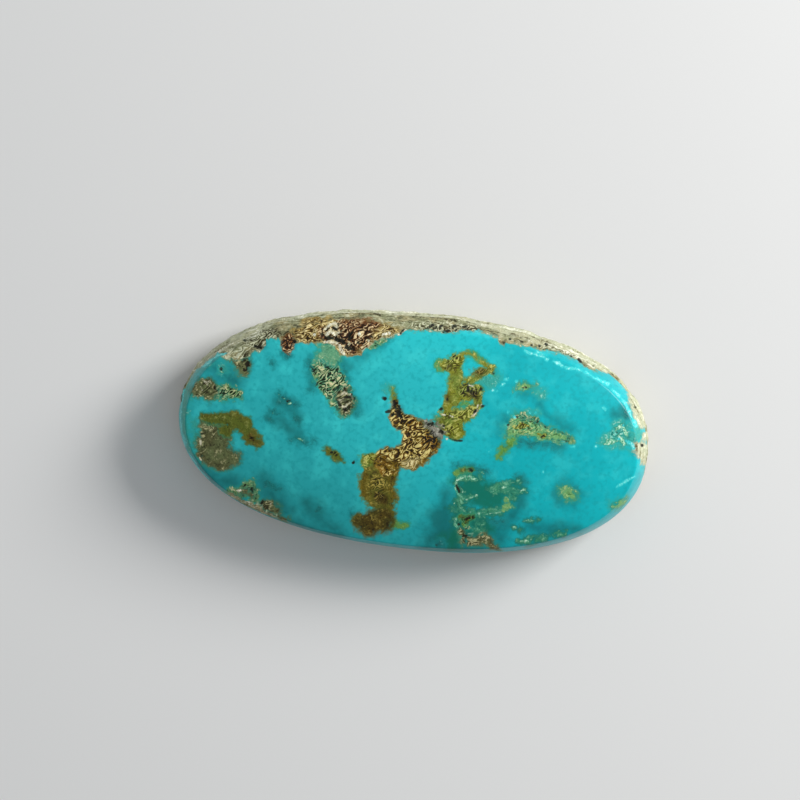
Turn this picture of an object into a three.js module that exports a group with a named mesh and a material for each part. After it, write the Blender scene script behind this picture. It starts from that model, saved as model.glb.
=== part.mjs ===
// A turquoise stone: one slice of a natural nugget, ground to a full oval and polished on its face.
// A rind of host rock is left along the back edge, and veins of softer matrix cross the polished face.
// Millimetres. +X runs along the oval, +Y to the edge with the rind, and +Z up out of the polished face.
// The origin lies on the flat sawn underside, below the middle of the oval.
import * as THREE from "three";
import { ImprovedNoise } from "three/addons/math/ImprovedNoise.js";
import { mergeGeometries, mergeVertices } from "three/addons/utils/BufferGeometryUtils.js";

// Overall size of the stone.
const LENGTH = 30;
const WIDTH = 15.2;
const HEIGHT = 5.2;

// The side, from the sawn underside up to the edge of the polished face.
const FOOT_INSET = 0.85;
const CHAMFER_INSET = 0.4;
const CHAMFER_HEIGHT = 0.45;
const GIRDLE_HEIGHT = 1.8;
const SHOULDER_HEIGHT = 3;
const SHOULDER_SHARE = 0.35;
const FACE_EDGE_HEIGHT = 3.9;
const CROWN_POWER = 2.4;

// The bevel round the face is widest on the rind side and narrowest across from it.
const BEVEL_WIDTH = 0.7;
const BEVEL_SPREAD = 0.42;
const BEVEL_WIDEST_AT = 65;

// How the oval departs from a plain ellipse, as lobes: [count round the stone, size, degrees from +X].
const OUTLINE_FULLNESS = 1.018;
const OUTLINE_LOBES = [
  [1, 0.006, 0],
  [2, 0.0056, 0],
  [3, 0.0063, -54],
  [4, 0.0216, 44],
];

// The rind: rough layered host rock, its lumps and ledges standing in and out of the ground oval.
const RIND_MIDDLE_AT = 104;
const RIND_FULL_WITHIN = 52;
const RIND_GONE_BEYOND = 74;
const RIND_LUMP_HEIGHT = 0.09;
const RIND_LUMP_SIZE = 1.4;
const RIND_LEDGE_HEIGHT = 0.05;
const RIND_LEDGE_SPACING = 0.9;
const RIND_LEDGE_DRIFT = 6;

// Matrix wears away below the turquoise when the face is polished.
// Each vein is a run of dabs along its length: [x, y, radius].
const HOLLOW_DEPTH = 0.16;
const HOLLOW_EDGE = 0.9;
const MATRIX_VEINS = [
  // the main vein, from its thin spur down through the knee to the foot at the front edge
  [[-1.65, 2.54, 0.2], [-1.35, 1.64, 0.35], [-0.7, 0.84, 0.5], [0.2, -0.16, 0.85], [0.9, -0.56, 0.75]],
  [[0.2, -0.76, 0.85], [-0.7, -1.46, 0.75], [-1.8, -1.96, 0.75], [-2.8, -1.96, 0.4]],
  [[-1.4, -2.06, 0.7], [-2, -2.96, 1], [-2.05, -3.76, 1.05], [-1.5, -4.46, 0.75], [-1.5, -5.16, 0.7]],
  [[-1.6, -5.56, 0.75], [-2.1, -5.96, 0.8], [-2.7, -5.86, 0.55]],
  // the olive branch, its short arm and its loop
  [[1.3, 0.64, 0.45], [2.4, 0.64, 0.8], [2.4, 1.64, 0.9], [2.9, 2.44, 1.1], [3, 3.24, 1], [2.4, 3.94, 0.5]],
  [[2.4, 3.94, 0.5], [2.2, 4.64, 0.45], [2.4, 5.34, 0.35]],
  [[2, 4.74, 0.45], [1.2, 4.64, 0.35]],
  [[3.9, 5.14, 0.25], [4.4, 4.74, 0.32], [3.7, 4.44, 0.28]],
  // the tongue that hangs from the rind, and the rust pocket behind it
  [[-6.1, 4.94, 0.55], [-5.9, 4.24, 0.85], [-5.9, 3.54, 0.95], [-5.1, 2.24, 0.85], [-4.6, 1.04, 0.4]],
  [[-6.2, 5.84, 0.6], [-5, 5.84, 0.85], [-3.8, 6.14, 0.65]],
  // patches at the two ends of the stone
  [[-13.3, -0.76, 0.35], [-12.7, -1.46, 0.9], [-12.5, -2.36, 1], [-11.4, -2.56, 0.45]],
  [[-13.4, -0.26, 0.25], [-12.3, -0.46, 0.6], [-11.2, -0.46, 0.6], [-10.2, -1.26, 0.4]],
  [[-13.7, 1.54, 0.6], [-12.6, 1.44, 0.55], [-11.6, 1.34, 0.4]],
  [[-11.6, 4.24, 0.6], [-11.3, 3.04, 0.4]],
  [[-11, -4.86, 0.5], [-10, -4.66, 0.6], [-8.7, -5.56, 0.4]],
  [[6.3, 0.84, 0.4], [6.6, 1.54, 0.5], [7.4, 1.34, 0.6], [8.6, 1.04, 0.5], [9.5, 0.94, 0.4]],
  [[3.5, -5.26, 0.45], [4.3, -6.26, 0.5], [5.3, -6.46, 0.45]],
];

// How finely the surface is faceted, and how close two corners are welded into one.
const FACE_DIVISIONS = 50;
const SIDE_SEGMENTS = 4 * FACE_DIVISIONS;
const WALL_RINGS = 3;
const WELD_DISTANCE = 0.002;

const BLANK_RADIUS = WIDTH / 2;
const FACE_RADIUS = BLANK_RADIUS - BEVEL_WIDTH;
const { degToRad, smoothstep } = THREE.MathUtils;

// The ground oval in plan, at an angle round the stone.
function outline(angle) {
  let fullness = OUTLINE_FULLNESS;
  for (const [count, size, at] of OUTLINE_LOBES) {
    fullness += size * Math.cos(count * (angle - degToRad(at)));
  }
  const x = (LENGTH / 2) * Math.cos(angle);
  const y = (WIDTH / 2) * Math.sin(angle);
  return new THREE.Vector2(x, y).multiplyScalar(fullness);
}

// The direction straight out of the side at that angle.
function outward(angle) {
  const step = 0.001;
  const along = outline(angle + step).sub(outline(angle - step));
  return new THREE.Vector2(along.y, -along.x).normalize();
}

// How wide the bevel is, in plan, at that angle.
function bevelWidth(angle) {
  return BEVEL_WIDTH * (1 + BEVEL_SPREAD * Math.cos(angle - degToRad(BEVEL_WIDEST_AT)));
}

// The profile of a round blank's underside and side, from the middle of the underside to the face's edge.
function sideProfile() {
  const profile = [
    new THREE.Vector2(0, 0),
    new THREE.Vector2(BLANK_RADIUS - FOOT_INSET, 0),
    new THREE.Vector2(BLANK_RADIUS - CHAMFER_INSET, CHAMFER_HEIGHT),
  ];
  for (let ring = 1; ring <= WALL_RINGS; ring += 1) {
    const rise = ring / WALL_RINGS;
    const inset = CHAMFER_INSET * (1 - rise) ** 2;
    const height = THREE.MathUtils.lerp(CHAMFER_HEIGHT, GIRDLE_HEIGHT, rise);
    profile.push(new THREE.Vector2(BLANK_RADIUS - inset, height));
  }
  const shoulder = new THREE.Vector2(BLANK_RADIUS - BEVEL_WIDTH * SHOULDER_SHARE, SHOULDER_HEIGHT);
  const faceEdge = new THREE.Vector2(FACE_RADIUS, FACE_EDGE_HEIGHT);
  profile.push(profile.at(-1).clone().lerp(shoulder, 0.5));
  profile.push(shoulder);
  profile.push(shoulder.clone().lerp(faceEdge, 0.5));
  profile.push(faceEdge);
  return profile;
}

// The blank's crowned face: a square grid whose square rings are bent into round ones.
function faceGeometry() {
  const face = new THREE.PlaneGeometry(2, 2, FACE_DIVISIONS, FACE_DIVISIONS);
  const place = face.getAttribute("position");
  for (let i = 0; i < place.count; i += 1) {
    const u = place.getX(i);
    const v = place.getY(i);
    const sideways = Math.abs(u) >= Math.abs(v);
    const share = sideways ? u : v;
    const slant = share === 0 ? 0 : (sideways ? v : u) / share;
    const angle = sideways ? slant * (Math.PI / 4) : Math.PI / 2 - slant * (Math.PI / 4);
    const crown = (HEIGHT - FACE_EDGE_HEIGHT) * (1 - Math.abs(share) ** CROWN_POWER);
    const radius = FACE_RADIUS * share;
    place.setXYZ(i, radius * Math.cos(angle), radius * Math.sin(angle), FACE_EDGE_HEIGHT + crown);
  }
  return face;
}

// The whole round blank, closed where the side meets the face.
function blankGeometry() {
  const side = new THREE.LatheGeometry(sideProfile(), SIDE_SEGMENTS).rotateX(Math.PI / 2);
  const blank = mergeGeometries([side, faceGeometry()]);
  blank.deleteAttribute("normal");
  blank.deleteAttribute("uv");
  return mergeVertices(blank, WELD_DISTANCE);
}

// Distance from a point on the face to a vein's edge, less than zero inside the vein.
function distanceToVein(point, vein) {
  let nearest = Infinity;
  for (let i = 1; i < vein.length; i += 1) {
    const start = new THREE.Vector2(vein[i - 1][0], vein[i - 1][1]);
    const span = new THREE.Vector2(vein[i][0], vein[i][1]).sub(start);
    const offset = point.clone().sub(start);
    const share = THREE.MathUtils.clamp(offset.dot(span) / span.lengthSq(), 0, 1);
    const radius = THREE.MathUtils.lerp(vein[i - 1][2], vein[i][2], share);
    nearest = Math.min(nearest, offset.sub(span.multiplyScalar(share)).length() - radius);
  }
  return nearest;
}

// How far the matrix has worn down at a point on the face.
function hollow(point) {
  const distances = MATRIX_VEINS.map((vein) => distanceToVein(point, vein));
  return HOLLOW_DEPTH * smoothstep(-Math.min(...distances), -HOLLOW_EDGE / 2, HOLLOW_EDGE / 2);
}

// How much of the rind there is at an angle round the stone and a height up its side, from 0 to 1.
function rindShare(angle, height) {
  const away = Math.acos(Math.cos(angle - degToRad(RIND_MIDDLE_AT)));
  const round = 1 - smoothstep(away, degToRad(RIND_FULL_WITHIN), degToRad(RIND_GONE_BEYOND));
  const aboveFoot = smoothstep(height, 0, CHAMFER_HEIGHT);
  const belowFace = 1 - smoothstep(height, SHOULDER_HEIGHT, FACE_EDGE_HEIGHT);
  return round * aboveFoot * belowFace;
}

// How far the rind stands out of the ground oval: broken lumps, and ledges where it parts in layers.
function rindRelief(x, y, height, noise) {
  const size = RIND_LUMP_SIZE;
  const lump = noise.noise(x / size, y / size, height / size);
  const drift = noise.noise(x / RIND_LEDGE_DRIFT, y / RIND_LEDGE_DRIFT, 0);
  const ledge = Math.sin(2 * Math.PI * (height / RIND_LEDGE_SPACING + drift));
  return RIND_LUMP_HEIGHT * lump + RIND_LEDGE_HEIGHT * ledge;
}

// The round blank is stretched to the oval, bevelled, roughened along the rind and worn along the veins.
function shapeStone(blank) {
  const noise = new ImprovedNoise();
  const place = blank.getAttribute("position");
  for (let i = 0; i < place.count; i += 1) {
    const radius = Math.hypot(place.getX(i), place.getY(i));
    const angle = Math.atan2(place.getY(i), place.getX(i));
    const height = place.getZ(i);
    const inset = BLANK_RADIUS - radius;
    const rim = outline(angle);
    const out = outward(angle);
    const onFace = height > FACE_EDGE_HEIGHT - WELD_DISTANCE;
    const onUnderside = height === 0;
    let point = rim.clone().addScaledVector(out, -inset);
    if (onUnderside) {
      point = rim.clone().addScaledVector(out, -FOOT_INSET);
      point.multiplyScalar(radius / (BLANK_RADIUS - FOOT_INSET));
    } else if (onFace) {
      point = rim.clone().addScaledVector(out, -bevelWidth(angle));
      point.multiplyScalar(radius / FACE_RADIUS);
    } else if (height > GIRDLE_HEIGHT) {
      point = rim.clone().addScaledVector(out, (-inset * bevelWidth(angle)) / BEVEL_WIDTH);
    }
    const relief = rindShare(angle, height) * rindRelief(point.x, point.y, height, noise);
    point.addScaledVector(out, relief);
    const worn = onUnderside ? 0 : hollow(point) * smoothstep(height, GIRDLE_HEIGHT, FACE_EDGE_HEIGHT);
    place.setXYZ(i, point.x, point.y, height - worn);
  }
  return blank;
}

// Puts the origin below the middle of the oval.
function centreInPlan(geometry) {
  geometry.computeBoundingBox();
  const middle = geometry.boundingBox.getCenter(new THREE.Vector3());
  return geometry.translate(-middle.x, -middle.y, 0);
}

function stoneGeometry() {
  const stone = centreInPlan(shapeStone(blankGeometry()));
  stone.computeVertexNormals();
  return stone;
}

const polishedTurquoise = new THREE.MeshStandardMaterial({ color: 0x2fb0b2, roughness: 0.3, metalness: 0 });
const turquoiseStone = new THREE.Mesh(stoneGeometry(), polishedTurquoise);
turquoiseStone.name = "turquoise_stone";

const part = new THREE.Group();
part.add(turquoiseStone);

export default part;
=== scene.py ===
import math

import bpy
import numpy as np
from mathutils import Matrix, Vector, noise


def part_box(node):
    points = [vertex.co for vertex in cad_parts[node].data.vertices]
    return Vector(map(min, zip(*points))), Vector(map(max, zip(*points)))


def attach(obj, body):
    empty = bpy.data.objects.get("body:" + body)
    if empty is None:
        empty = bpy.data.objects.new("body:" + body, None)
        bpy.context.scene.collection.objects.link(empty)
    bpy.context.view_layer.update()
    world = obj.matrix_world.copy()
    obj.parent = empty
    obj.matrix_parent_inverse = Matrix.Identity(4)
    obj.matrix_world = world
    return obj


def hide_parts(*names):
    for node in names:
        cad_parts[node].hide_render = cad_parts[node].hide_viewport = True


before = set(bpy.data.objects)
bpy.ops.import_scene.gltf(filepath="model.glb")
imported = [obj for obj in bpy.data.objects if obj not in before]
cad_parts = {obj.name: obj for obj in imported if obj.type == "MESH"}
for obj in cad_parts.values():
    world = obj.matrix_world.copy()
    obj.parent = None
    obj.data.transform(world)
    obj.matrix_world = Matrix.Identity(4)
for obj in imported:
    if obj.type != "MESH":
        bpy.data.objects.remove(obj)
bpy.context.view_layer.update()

# The ground stone. A slice of nugget is shaped on a wheel to a full oval with a low crowned face. A bevel
# runs round the face, widest along the back, and the side draws in below the girdle to a flat sawn
# underside. Sizes are in millimetres, and angles round the stone in degrees.
MM = 0.001
OUTLINE_FULLNESS = 1.018
# swellings of the outline: how many go round it, how high they are and where they peak
OUTLINE_LOBES = ((1, 0.006, 0), (2, 0.0056, 0), (3, 0.0063, -54), (4, 0.0216, 44))
OUTLINE_STEPS = 2000
SMALL_TURN = 0.001
BEVEL_WIDTH = 0.7
BEVEL_SPREAD = 0.42
BEVEL_WIDEST_AT = 65
FACE_EDGE_HEIGHT = 3.9
# the point that draws the bevel's curve: its share of the bevel's width, and its height
BEVEL_CURVE = (0.42, 3.25)
GIRDLE_HEIGHT = 1.8
CHAMFER_INSET = 0.4
CHAMFER_HEIGHT = 0.45
FOOT_INSET = 0.85
CROWN_POWER = 2.4
FACE_COLUMNS = 340
FACE_ROWS = 170
FACE_SHARE = 0.87
WALL_RINGS = 18
CHAMFER_RINGS = 6
UNDERSIDE_RINGS = (0.985, 0.93, 0.8, 0.62, 0.44, 0.26, 0.1)

stone_low, stone_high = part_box("turquoise_stone")
stone_middle = (stone_low + stone_high) / 2 / MM
stone_length, stone_width, stone_height = (stone_high - stone_low) / MM


def plain_oval(angle):
    """The oval in plan before it is fitted to the stone's length and width."""
    fullness = np.full_like(angle, OUTLINE_FULLNESS)
    for count, size, at in OUTLINE_LOBES:
        fullness += size * np.cos(count * (angle - math.radians(at)))
    return np.stack((fullness * np.cos(angle), fullness * np.sin(angle)), -1)


all_round = plain_oval(np.linspace(0, 2 * math.pi, OUTLINE_STEPS))
oval_low, oval_high = all_round.min(0), all_round.max(0)


def oval(angle):
    """The ground oval in plan at an angle round the stone."""
    share = (plain_oval(angle) - oval_low) / (oval_high - oval_low) - 0.5
    return share * (stone_length, stone_width) + (stone_middle.x, stone_middle.y)


def outward(angle):
    """The direction straight out of the side, in plan."""
    along = oval(angle + SMALL_TURN) - oval(angle - SMALL_TURN)
    out = np.stack((along[:, 1], -along[:, 0]), -1)
    return out / np.linalg.norm(out, axis=1, keepdims=True)


def ring(angle, inset, height):
    """Points that far in from the oval and that high up."""
    plan = oval(angle) - outward(angle) * np.reshape(inset, (-1, 1))
    return np.column_stack((plan, np.broadcast_to(height, angle.shape)))


# the face and its bevel are one grid, whose square rings are bent into oval ones
columns = np.linspace(-1, 1, FACE_COLUMNS + 1)
rows = np.linspace(-1, 1, FACE_ROWS + 1)
u, v = (grid.ravel() for grid in np.meshgrid(columns, rows))
sideways = np.abs(u) >= np.abs(v)
longer = np.where(sideways, u, v)
shorter = np.where(sideways, v, u)
slant = np.divide(shorter, longer, out=np.zeros_like(u), where=longer != 0) * math.pi / 4
face_angle = np.where(sideways, slant, math.pi / 2 - slant) + np.where(longer < 0, math.pi, 0)
outness = np.abs(longer)
bevel_width = BEVEL_WIDTH * (1 + BEVEL_SPREAD * np.cos(face_angle - math.radians(BEVEL_WIDEST_AT)))

share = np.minimum(outness / FACE_SHARE, 1)
crown_height = FACE_EDGE_HEIGHT + (stone_height - FACE_EDGE_HEIGHT) * (1 - share**CROWN_POWER)
crown = ring(face_angle, bevel_width, crown_height)
crown[:, :2] = (crown[:, :2] - stone_middle.xy) * share[:, None] + stone_middle.xy
down = np.clip((outness - FACE_SHARE) / (1 - FACE_SHARE), 0, 1)
near_face = (1 - down) ** 2
between = 2 * down * (1 - down)
curve_inset = near_face + between * BEVEL_CURVE[0]
curve_height = near_face * FACE_EDGE_HEIGHT + between * BEVEL_CURVE[1] + down**2 * GIRDLE_HEIGHT
bevel = ring(face_angle, bevel_width * curve_inset, curve_height)
points = [np.where((outness < FACE_SHARE)[:, None], crown, bevel)]

# the side and the underside are rings that hang from the grid's border
numbers = np.arange(u.size).reshape(FACE_ROWS + 1, FACE_COLUMNS + 1)
rim = np.concatenate((numbers[0, :-1], numbers[:-1, -1], numbers[-1, :0:-1], numbers[:0:-1, 0]))
rim_angle = face_angle[rim]
corners = (numbers[:-1, :-1], numbers[:-1, 1:], numbers[1:, 1:], numbers[1:, :-1])
faces = np.stack(corners, -1).reshape(-1, 4).tolist()
side = []
for rise in 1 - np.arange(1, WALL_RINGS + 1) / WALL_RINGS:
    side.append((CHAMFER_INSET * (1 - rise) ** 2, CHAMFER_HEIGHT + (GIRDLE_HEIGHT - CHAMFER_HEIGHT) * rise))
for fall in np.arange(1, CHAMFER_RINGS + 1) / CHAMFER_RINGS:
    side.append((CHAMFER_INSET + (FOOT_INSET - CHAMFER_INSET) * fall, CHAMFER_HEIGHT * (1 - fall)))
rings = [ring(rim_angle, inset, max(rise, 0.0)) for inset, rise in side]
foot = rings[-1]
underside_middle = np.array((stone_middle.x, stone_middle.y, 0))
for part in UNDERSIDE_RINGS:
    rings.append((foot - underside_middle) * part + underside_middle)
loop = rim
for made in rings:
    below = np.arange(len(rim)) + sum(map(len, points))
    points.append(made)
    faces += np.stack((loop, below, np.roll(below, -1), np.roll(loop, -1)), -1).tolist()
    loop = below
centre = sum(map(len, points))
points.append(underside_middle[None])
faces += [(a, centre, b) for a, b in zip(loop.tolist(), np.roll(loop, -1).tolist())]
points = np.concatenate(points)
angles = np.concatenate((face_angle, np.tile(rim_angle, len(rings)), [0]))
underside = np.zeros(len(points))
underside[len(u) + (len(side) - 1) * len(rim):] = 1

stone_mesh = bpy.data.meshes.new("turquoise_stone_surface")
stone_mesh.from_pydata((points * MM).tolist(), [], faces)
normals = np.zeros(len(points) * 3)
stone_mesh.vertex_normals.foreach_get("vector", normals)
normals = normals.reshape(-1, 3)


# The minerals. Iron-stained matrix and green altered clay fill old cracks in the turquoise, and a rind of
# layered host rock stays along the back. Each is laid on the face as runs of dabs, (x, y, radius) from the
# stone's middle, as the eye sees them from above when it leans a little over the back.
LEAN = math.radians(4)
EYE_DISTANCE = 220
MINERALS = {
    # deep teal zones round the green patches, and painted shade along the front edge of the bevel
    "halo_and_edge_shade": (
        ((-13.3, 2.8, 0.5), (-12.4, 2.3, 0.8), (-11.7, 2, 0.6)),
        ((-8.9, 1, 0.45), (-8.2, 0.8, 0.55), (-7.6, 0.2, 0.4)),
        ((-9.2, 0, 0.3), (-8.2, -0.4, 0.4), (-7.2, -1.1, 0.35)),
        ((-9.2, -4.1, 0.5), (-8.6, -5, 0.65), (-7.6, -5.8, 0.5)),
        ((-13.6, -3.7, 0.4), (-12.4, -4.4, 0.5), (-11, -4.5, 0.4)),
        ((-6.3, -5.3, 0.5), (-5.5, -6.2, 0.5), (-4.3, -6.7, 0.4)),
        ((-7.05, 3.9, 0.25), (-7, 3, 0.3), (-6.7, 2.2, 0.25)), ((-4.9, 3.8, 0.4), (-4.5, 3.6, 0.3)),
        ((-4.1, 4.3, 0.25), (-3.3, 4.9, 0.3), (-2.6, 5.3, 0.25)), ((-3.9, 1.6, 0.2), (-3.8, 0.9, 0.25)),
        ((5.7, 0.4, 0.3), (5.8, 1.3, 0.35)),
        ((7.6, 2.6, 0.35), (8.1, 2.1, 0.3), (8.9, 1.6, 0.3), (9.8, 1.2, 0.25)),
        ((6.9, -0.05, 0.2), (8.2, -0.1, 0.25), (9.4, 0.05, 0.2)),
        ((10.1, -2.3, 0.3), (9.6, -2.9, 0.3), (9.7, -3.5, 0.3), (10.6, -3.7, 0.3), (10.9, -3, 0.25)),
        ((6.7, 3.05, 0.2), (7.5, 3.1, 0.25)), ((1.5, -6.2, 0.4),),
        ((7.1, -2.4, 0.4), (7.3, -3.2, 0.4), (7, -4.4, 0.5), (6.1, -5.3, 0.65), (6, -6.2, 0.55)),
        ((7.8, -5.3, 0.4), (9.4, -5.4, 0.4), (11, -5, 0.3)), ((12.6, 2.4, 0.4), (13.3, 2.7, 0.35)),
        ((12.9, 2.4, 0.5), (13.4, 2.8, 0.45)),
        ((2.4, -4, 0.5), (2.5, -5.2, 0.95), (2.5, -6.4, 1.15), (3, -7, 0.8)),
        # painted shade: darker teal along the front edge of the bevel, which faces away from the light
        ((-8, -6.5, 0.3), (-6, -6.95, 0.4), (-4, -7.15, 0.35)),
        ((1.5, -7.4, 0.35), (3.8, -7.25, 0.5), (5.6, -7, 0.4)),
    ),
    # dark green glassy window low in the middle
    "window": (
        ((3.7, -3.3, 0.6), (4.5, -3.9, 0.6), (5.4, -4.1, 0.5)),
        ((3.4, -4.4, 0.4), (3.6, -5.3, 0.65), (4.8, -5.3, 0.6), (5.4, -5.7, 0.5)),
        ((3.3, -6.3, 0.5), (3.1, -6.9, 0.45)), ((6.4, -3.2, 0.4), (6.8, -2.5, 0.3)),
        ((3.3, -2.7, 0.55), (4.1, -2.9, 0.8), (4.9, -3.4, 0.8), (5.7, -3.7, 0.7)), ((2.6, -6.5, 0.45),),
        ((4.1, -5.9, 0.8), (4.9, -5.8, 0.85)),
    ),
    # dark smudges under the polish
    "smoke": (
        ((-9.15, 0.3, 0.1), (-8.7, 0.2, 0.12)), ((-9.35, -0.15, 0.1), (-9, -0.3, 0.1)),
        ((-7.6, 0.1, 0.14), (-7.35, -0.2, 0.12)), ((-7.5, -1.15, 0.12), (-6.95, -1.4, 0.15)),
        ((-6.4, -1.4, 0.08),), ((-8.75, 4.15, 0.12), (-8.4, 3.95, 0.08)), ((-5.5, -5.7, 0.12),),
        ((-3.4, -5.6, 0.08),), ((-9, -4.3, 0.2), (-8.4, -4.6, 0.2)), ((-3.95, 1.1, 0.1),),
        ((-3.85, 0.75, 0.07),), ((-6.75, 1.95, 0.08),),
        ((6.6, 0.12, 0.06), (7.4, 0.05, 0.08), (8.5, 0.02, 0.08), (9.4, 0.02, 0.06)),
        ((9.75, -2.5, 0.1), (9.55, -2.9, 0.1), (9.7, -3.35, 0.06)),
        ((10.4, -2.5, 0.07), (10.75, -2.8, 0.07)),
        ((2.95, -2, 0.08), (4.1, -1.85, 0.08), (4.9, -2.1, 0.08)), ((6.9, -2.2, 0.08), (7.4, -2.5, 0.06)),
        ((-2.8, 5.4, 0.1), (-2.1, 5.75, 0.08)), ((-7.05, 3.8, 0.08), (-6.95, 3.1, 0.1), (-6.6, 2.3, 0.08)),
        ((-4.85, 3.6, 0.08), (-4.6, 2.9, 0.06)), ((6.2, -5.1, 0.1), (5.6, -5.2, 0.1)),
        ((2.6, -7, 0.15), (2.2, -7.15, 0.1)), ((-9.55, 3.4, 0.06),),
        ((12.75, 1.15, 0.12), (12.95, 0.9, 0.1)), ((13.35, 2.3, 0.2), (13.3, 2.7, 0.2)),
        ((13.3, 1.45, 0.1),), ((-8.75, 1.45, 0.14), (-8.5, 1.15, 0.16)),
        ((-8.25, 1, 0.22), (-7.85, 0.9, 0.14)), ((-8.75, 0.95, 0.1),),
    ),
    # pale haze under the polish, and a painted pale sheen on the bevel along the left edge
    "mist_and_edge_sheen": (
        ((4.1, 3.7, 0.3), (4.5, 3.7, 0.35), (4.9, 3.9, 0.2)),
        ((2.6, 1.95, 0.14), (3.1, 2.05, 0.22), (3.4, 1.9, 0.1)),
        ((-12.75, 2.65, 0.14), (-12.4, 2.55, 0.16)),
        # painted sheen: a pale band on the bevel along the left edge, where the light catches it
        ((-14.75, 1.6, 0.25), (-14.85, 0.5, 0.3), (-14.85, -0.4, 0.3), (-14.6, -1.6, 0.2),
         (-14.1, -2.8, 0.1)),
        ((-14.3, 2.4, 0.15), (-13.7, 3, 0.18), (-12.9, 3.6, 0.15)), ((-1.95, 2.5, 0.1), (-1.6, 2.55, 0.08)),
        ((6.4, 1.75, 0.12), (6.9, 1.9, 0.14), (7.6, 2, 0.12)), ((5.75, 0.9, 0.12), (5.8, 0.5, 0.1)),
        ((7.7, 3.25, 0.14), (8, 3.2, 0.14)), ((-13.9, -0.9, 0.12), (-13.8, -2, 0.12)),
        ((14.3, 1.2, 0.25), (14.25, 1.9, 0.2)),
        ((13.1, -3.45, 0.2), (13.5, -3.4, 0.28), (13.9, -3.1, 0.18)),
        ((12.2, 0.6, 0.3), (12.8, 0.95, 0.5), (13.1, 1.6, 0.42), (13.5, 1.1, 0.42), (14, 0.6, 0.35)),
        ((13.3, 0.5, 0.25),),
    ),
    # pale green wisps
    "frost": (
        ((3.05, -3, 0.1), (3.3, -2.7, 0.14), (3.8, -2.55, 0.12), (4.2, -2.55, 0.1)),
        ((4.5, -2.2, 0.12), (4.65, -2.45, 0.12)),
        ((3.2, -3.3, 0.12), (3.45, -3.6, 0.18), (3.4, -3.95, 0.24), (3.25, -4.3, 0.28), (3.3, -4.65, 0.26)),
        ((3.6, -3.9, 0.14), (4.3, -3.75, 0.1)), ((2.8, -4.6, 0.1), (3.1, -4.5, 0.1)),
        ((3.3, -4.65, 0.2), (3.8, -4.75, 0.24), (4.4, -4.9, 0.2), (5.2, -4.75, 0.24), (5.8, -4.65, 0.18),
         (6.1, -4.5, 0.1)),
        ((5.3, -3.2, 0.18), (5.9, -3.1, 0.26), (6.5, -3, 0.28), (6.7, -3.3, 0.24), (6.6, -3.65, 0.18)),
        ((5.6, -2.85, 0.12), (6.1, -2.75, 0.14), (6.6, -2.6, 0.16), (6.95, -2.6, 0.1)),
        ((6.9, -3.2, 0.08), (7.4, -2.98, 0.07)), ((3.25, -5.3, 0.1), (3.2, -5.7, 0.12), (3.5, -5.85, 0.1)),
        ((4.4, -5.05, 0.12), (4.5, -5.4, 0.14), (4.9, -5.5, 0.16)), ((4.7, -5.9, 0.12), (5.1, -6.05, 0.1)),
        ((6.95, -5.4, 0.08), (7.45, -5.6, 0.12)),
        ((7.4, -6.3, 0.12), (7.9, -6.25, 0.16), (8.5, -6.1, 0.18), (9.1, -5.95, 0.12)),
        ((7.75, -4.95, 0.08), (8.5, -4.82, 0.06)), ((9.6, -5.6, 0.1), (10.2, -5.5, 0.1)),
    ),
    # bright threads in the wisps
    "thread": (
        ((3, -3.12, 0.03), (3.05, -2.9, 0.04), (3.2, -2.72, 0.045), (3.5, -2.52, 0.04),
         (3.85, -2.48, 0.03)),
        ((3.95, -2.62, 0.035), (4.25, -2.55, 0.03)),
        ((4.42, -2.12, 0.035), (4.68, -2.18, 0.045), (4.66, -2.45, 0.04)),
        ((3.05, -3.08, 0.04), (3.3, -3.2, 0.045), (3.45, -3.45, 0.05), (3.52, -3.62, 0.04)),
        ((2.98, -3.3, 0.03), (3.08, -3.55, 0.04), (3.25, -3.72, 0.045), (3.5, -3.85, 0.04),
         (3.9, -4.05, 0.03)),
        ((4.05, -3.86, 0.03), (4.42, -3.66, 0.035)), ((3.1, -4.1, 0.03), (3, -4.35, 0.03)),
        ((3.35, -4.55, 0.035), (3.75, -4.72, 0.04), (4.1, -4.78, 0.03)),
        ((4.45, -4.85, 0.04), (4.9, -4.78, 0.035)),
        ((5.1, -4.85, 0.03), (5.6, -4.72, 0.035), (6, -4.6, 0.03)),
        ((5.25, -3.3, 0.035), (5.6, -3.25, 0.03)), ((5.9, -3.05, 0.03), (6.2, -2.9, 0.035)),
        ((6.45, -2.62, 0.035), (6.75, -2.55, 0.03)), ((6.55, -3.05, 0.03), (6.8, -3.2, 0.035)),
        ((7.15, -3.06, 0.03), (7.4, -2.98, 0.04)),
        ((3.3, -5.2, 0.03), (3.18, -5.5, 0.045), (3.25, -5.8, 0.05), (3.5, -5.85, 0.04)),
        ((4.35, -5.05, 0.035), (4.45, -5.35, 0.045)), ((6.95, -5.4, 0.035), (7.25, -5.5, 0.04)),
        ((7.5, -6.28, 0.035), (7.9, -6.22, 0.045), (8.4, -6.1, 0.04)),
        ((7.75, -4.95, 0.03), (8.2, -4.85, 0.035)), ((3.5, -6.2, 0.03), (3.85, -6.2, 0.04)),
        ((4.15, -6.2, 0.035), (4.45, -6.12, 0.03)), ((3.8, -6.58, 0.03), (4.1, -6.5, 0.035)),
        ((-8.45, 1.2, 0.03),), ((-8.15, 0.92, 0.03), (-7.98, 0.98, 0.03)), ((-8.8, 1.4, 0.025),),
        ((-7.3, -1.25, 0.03), (-7.1, -1.33, 0.03)), ((-12.7, 2.5, 0.03), (-12.5, 2.45, 0.03)),
        ((-9, 0.2, 0.025),), ((12.3, 0.62, 0.055), (12.6, 0.75, 0.06)), ((12.45, 0.42, 0.05),),
        ((12.95, 1.1, 0.055), (13.1, 0.95, 0.055)), ((13.05, 1.75, 0.06), (13.3, 1.62, 0.06)),
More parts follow.
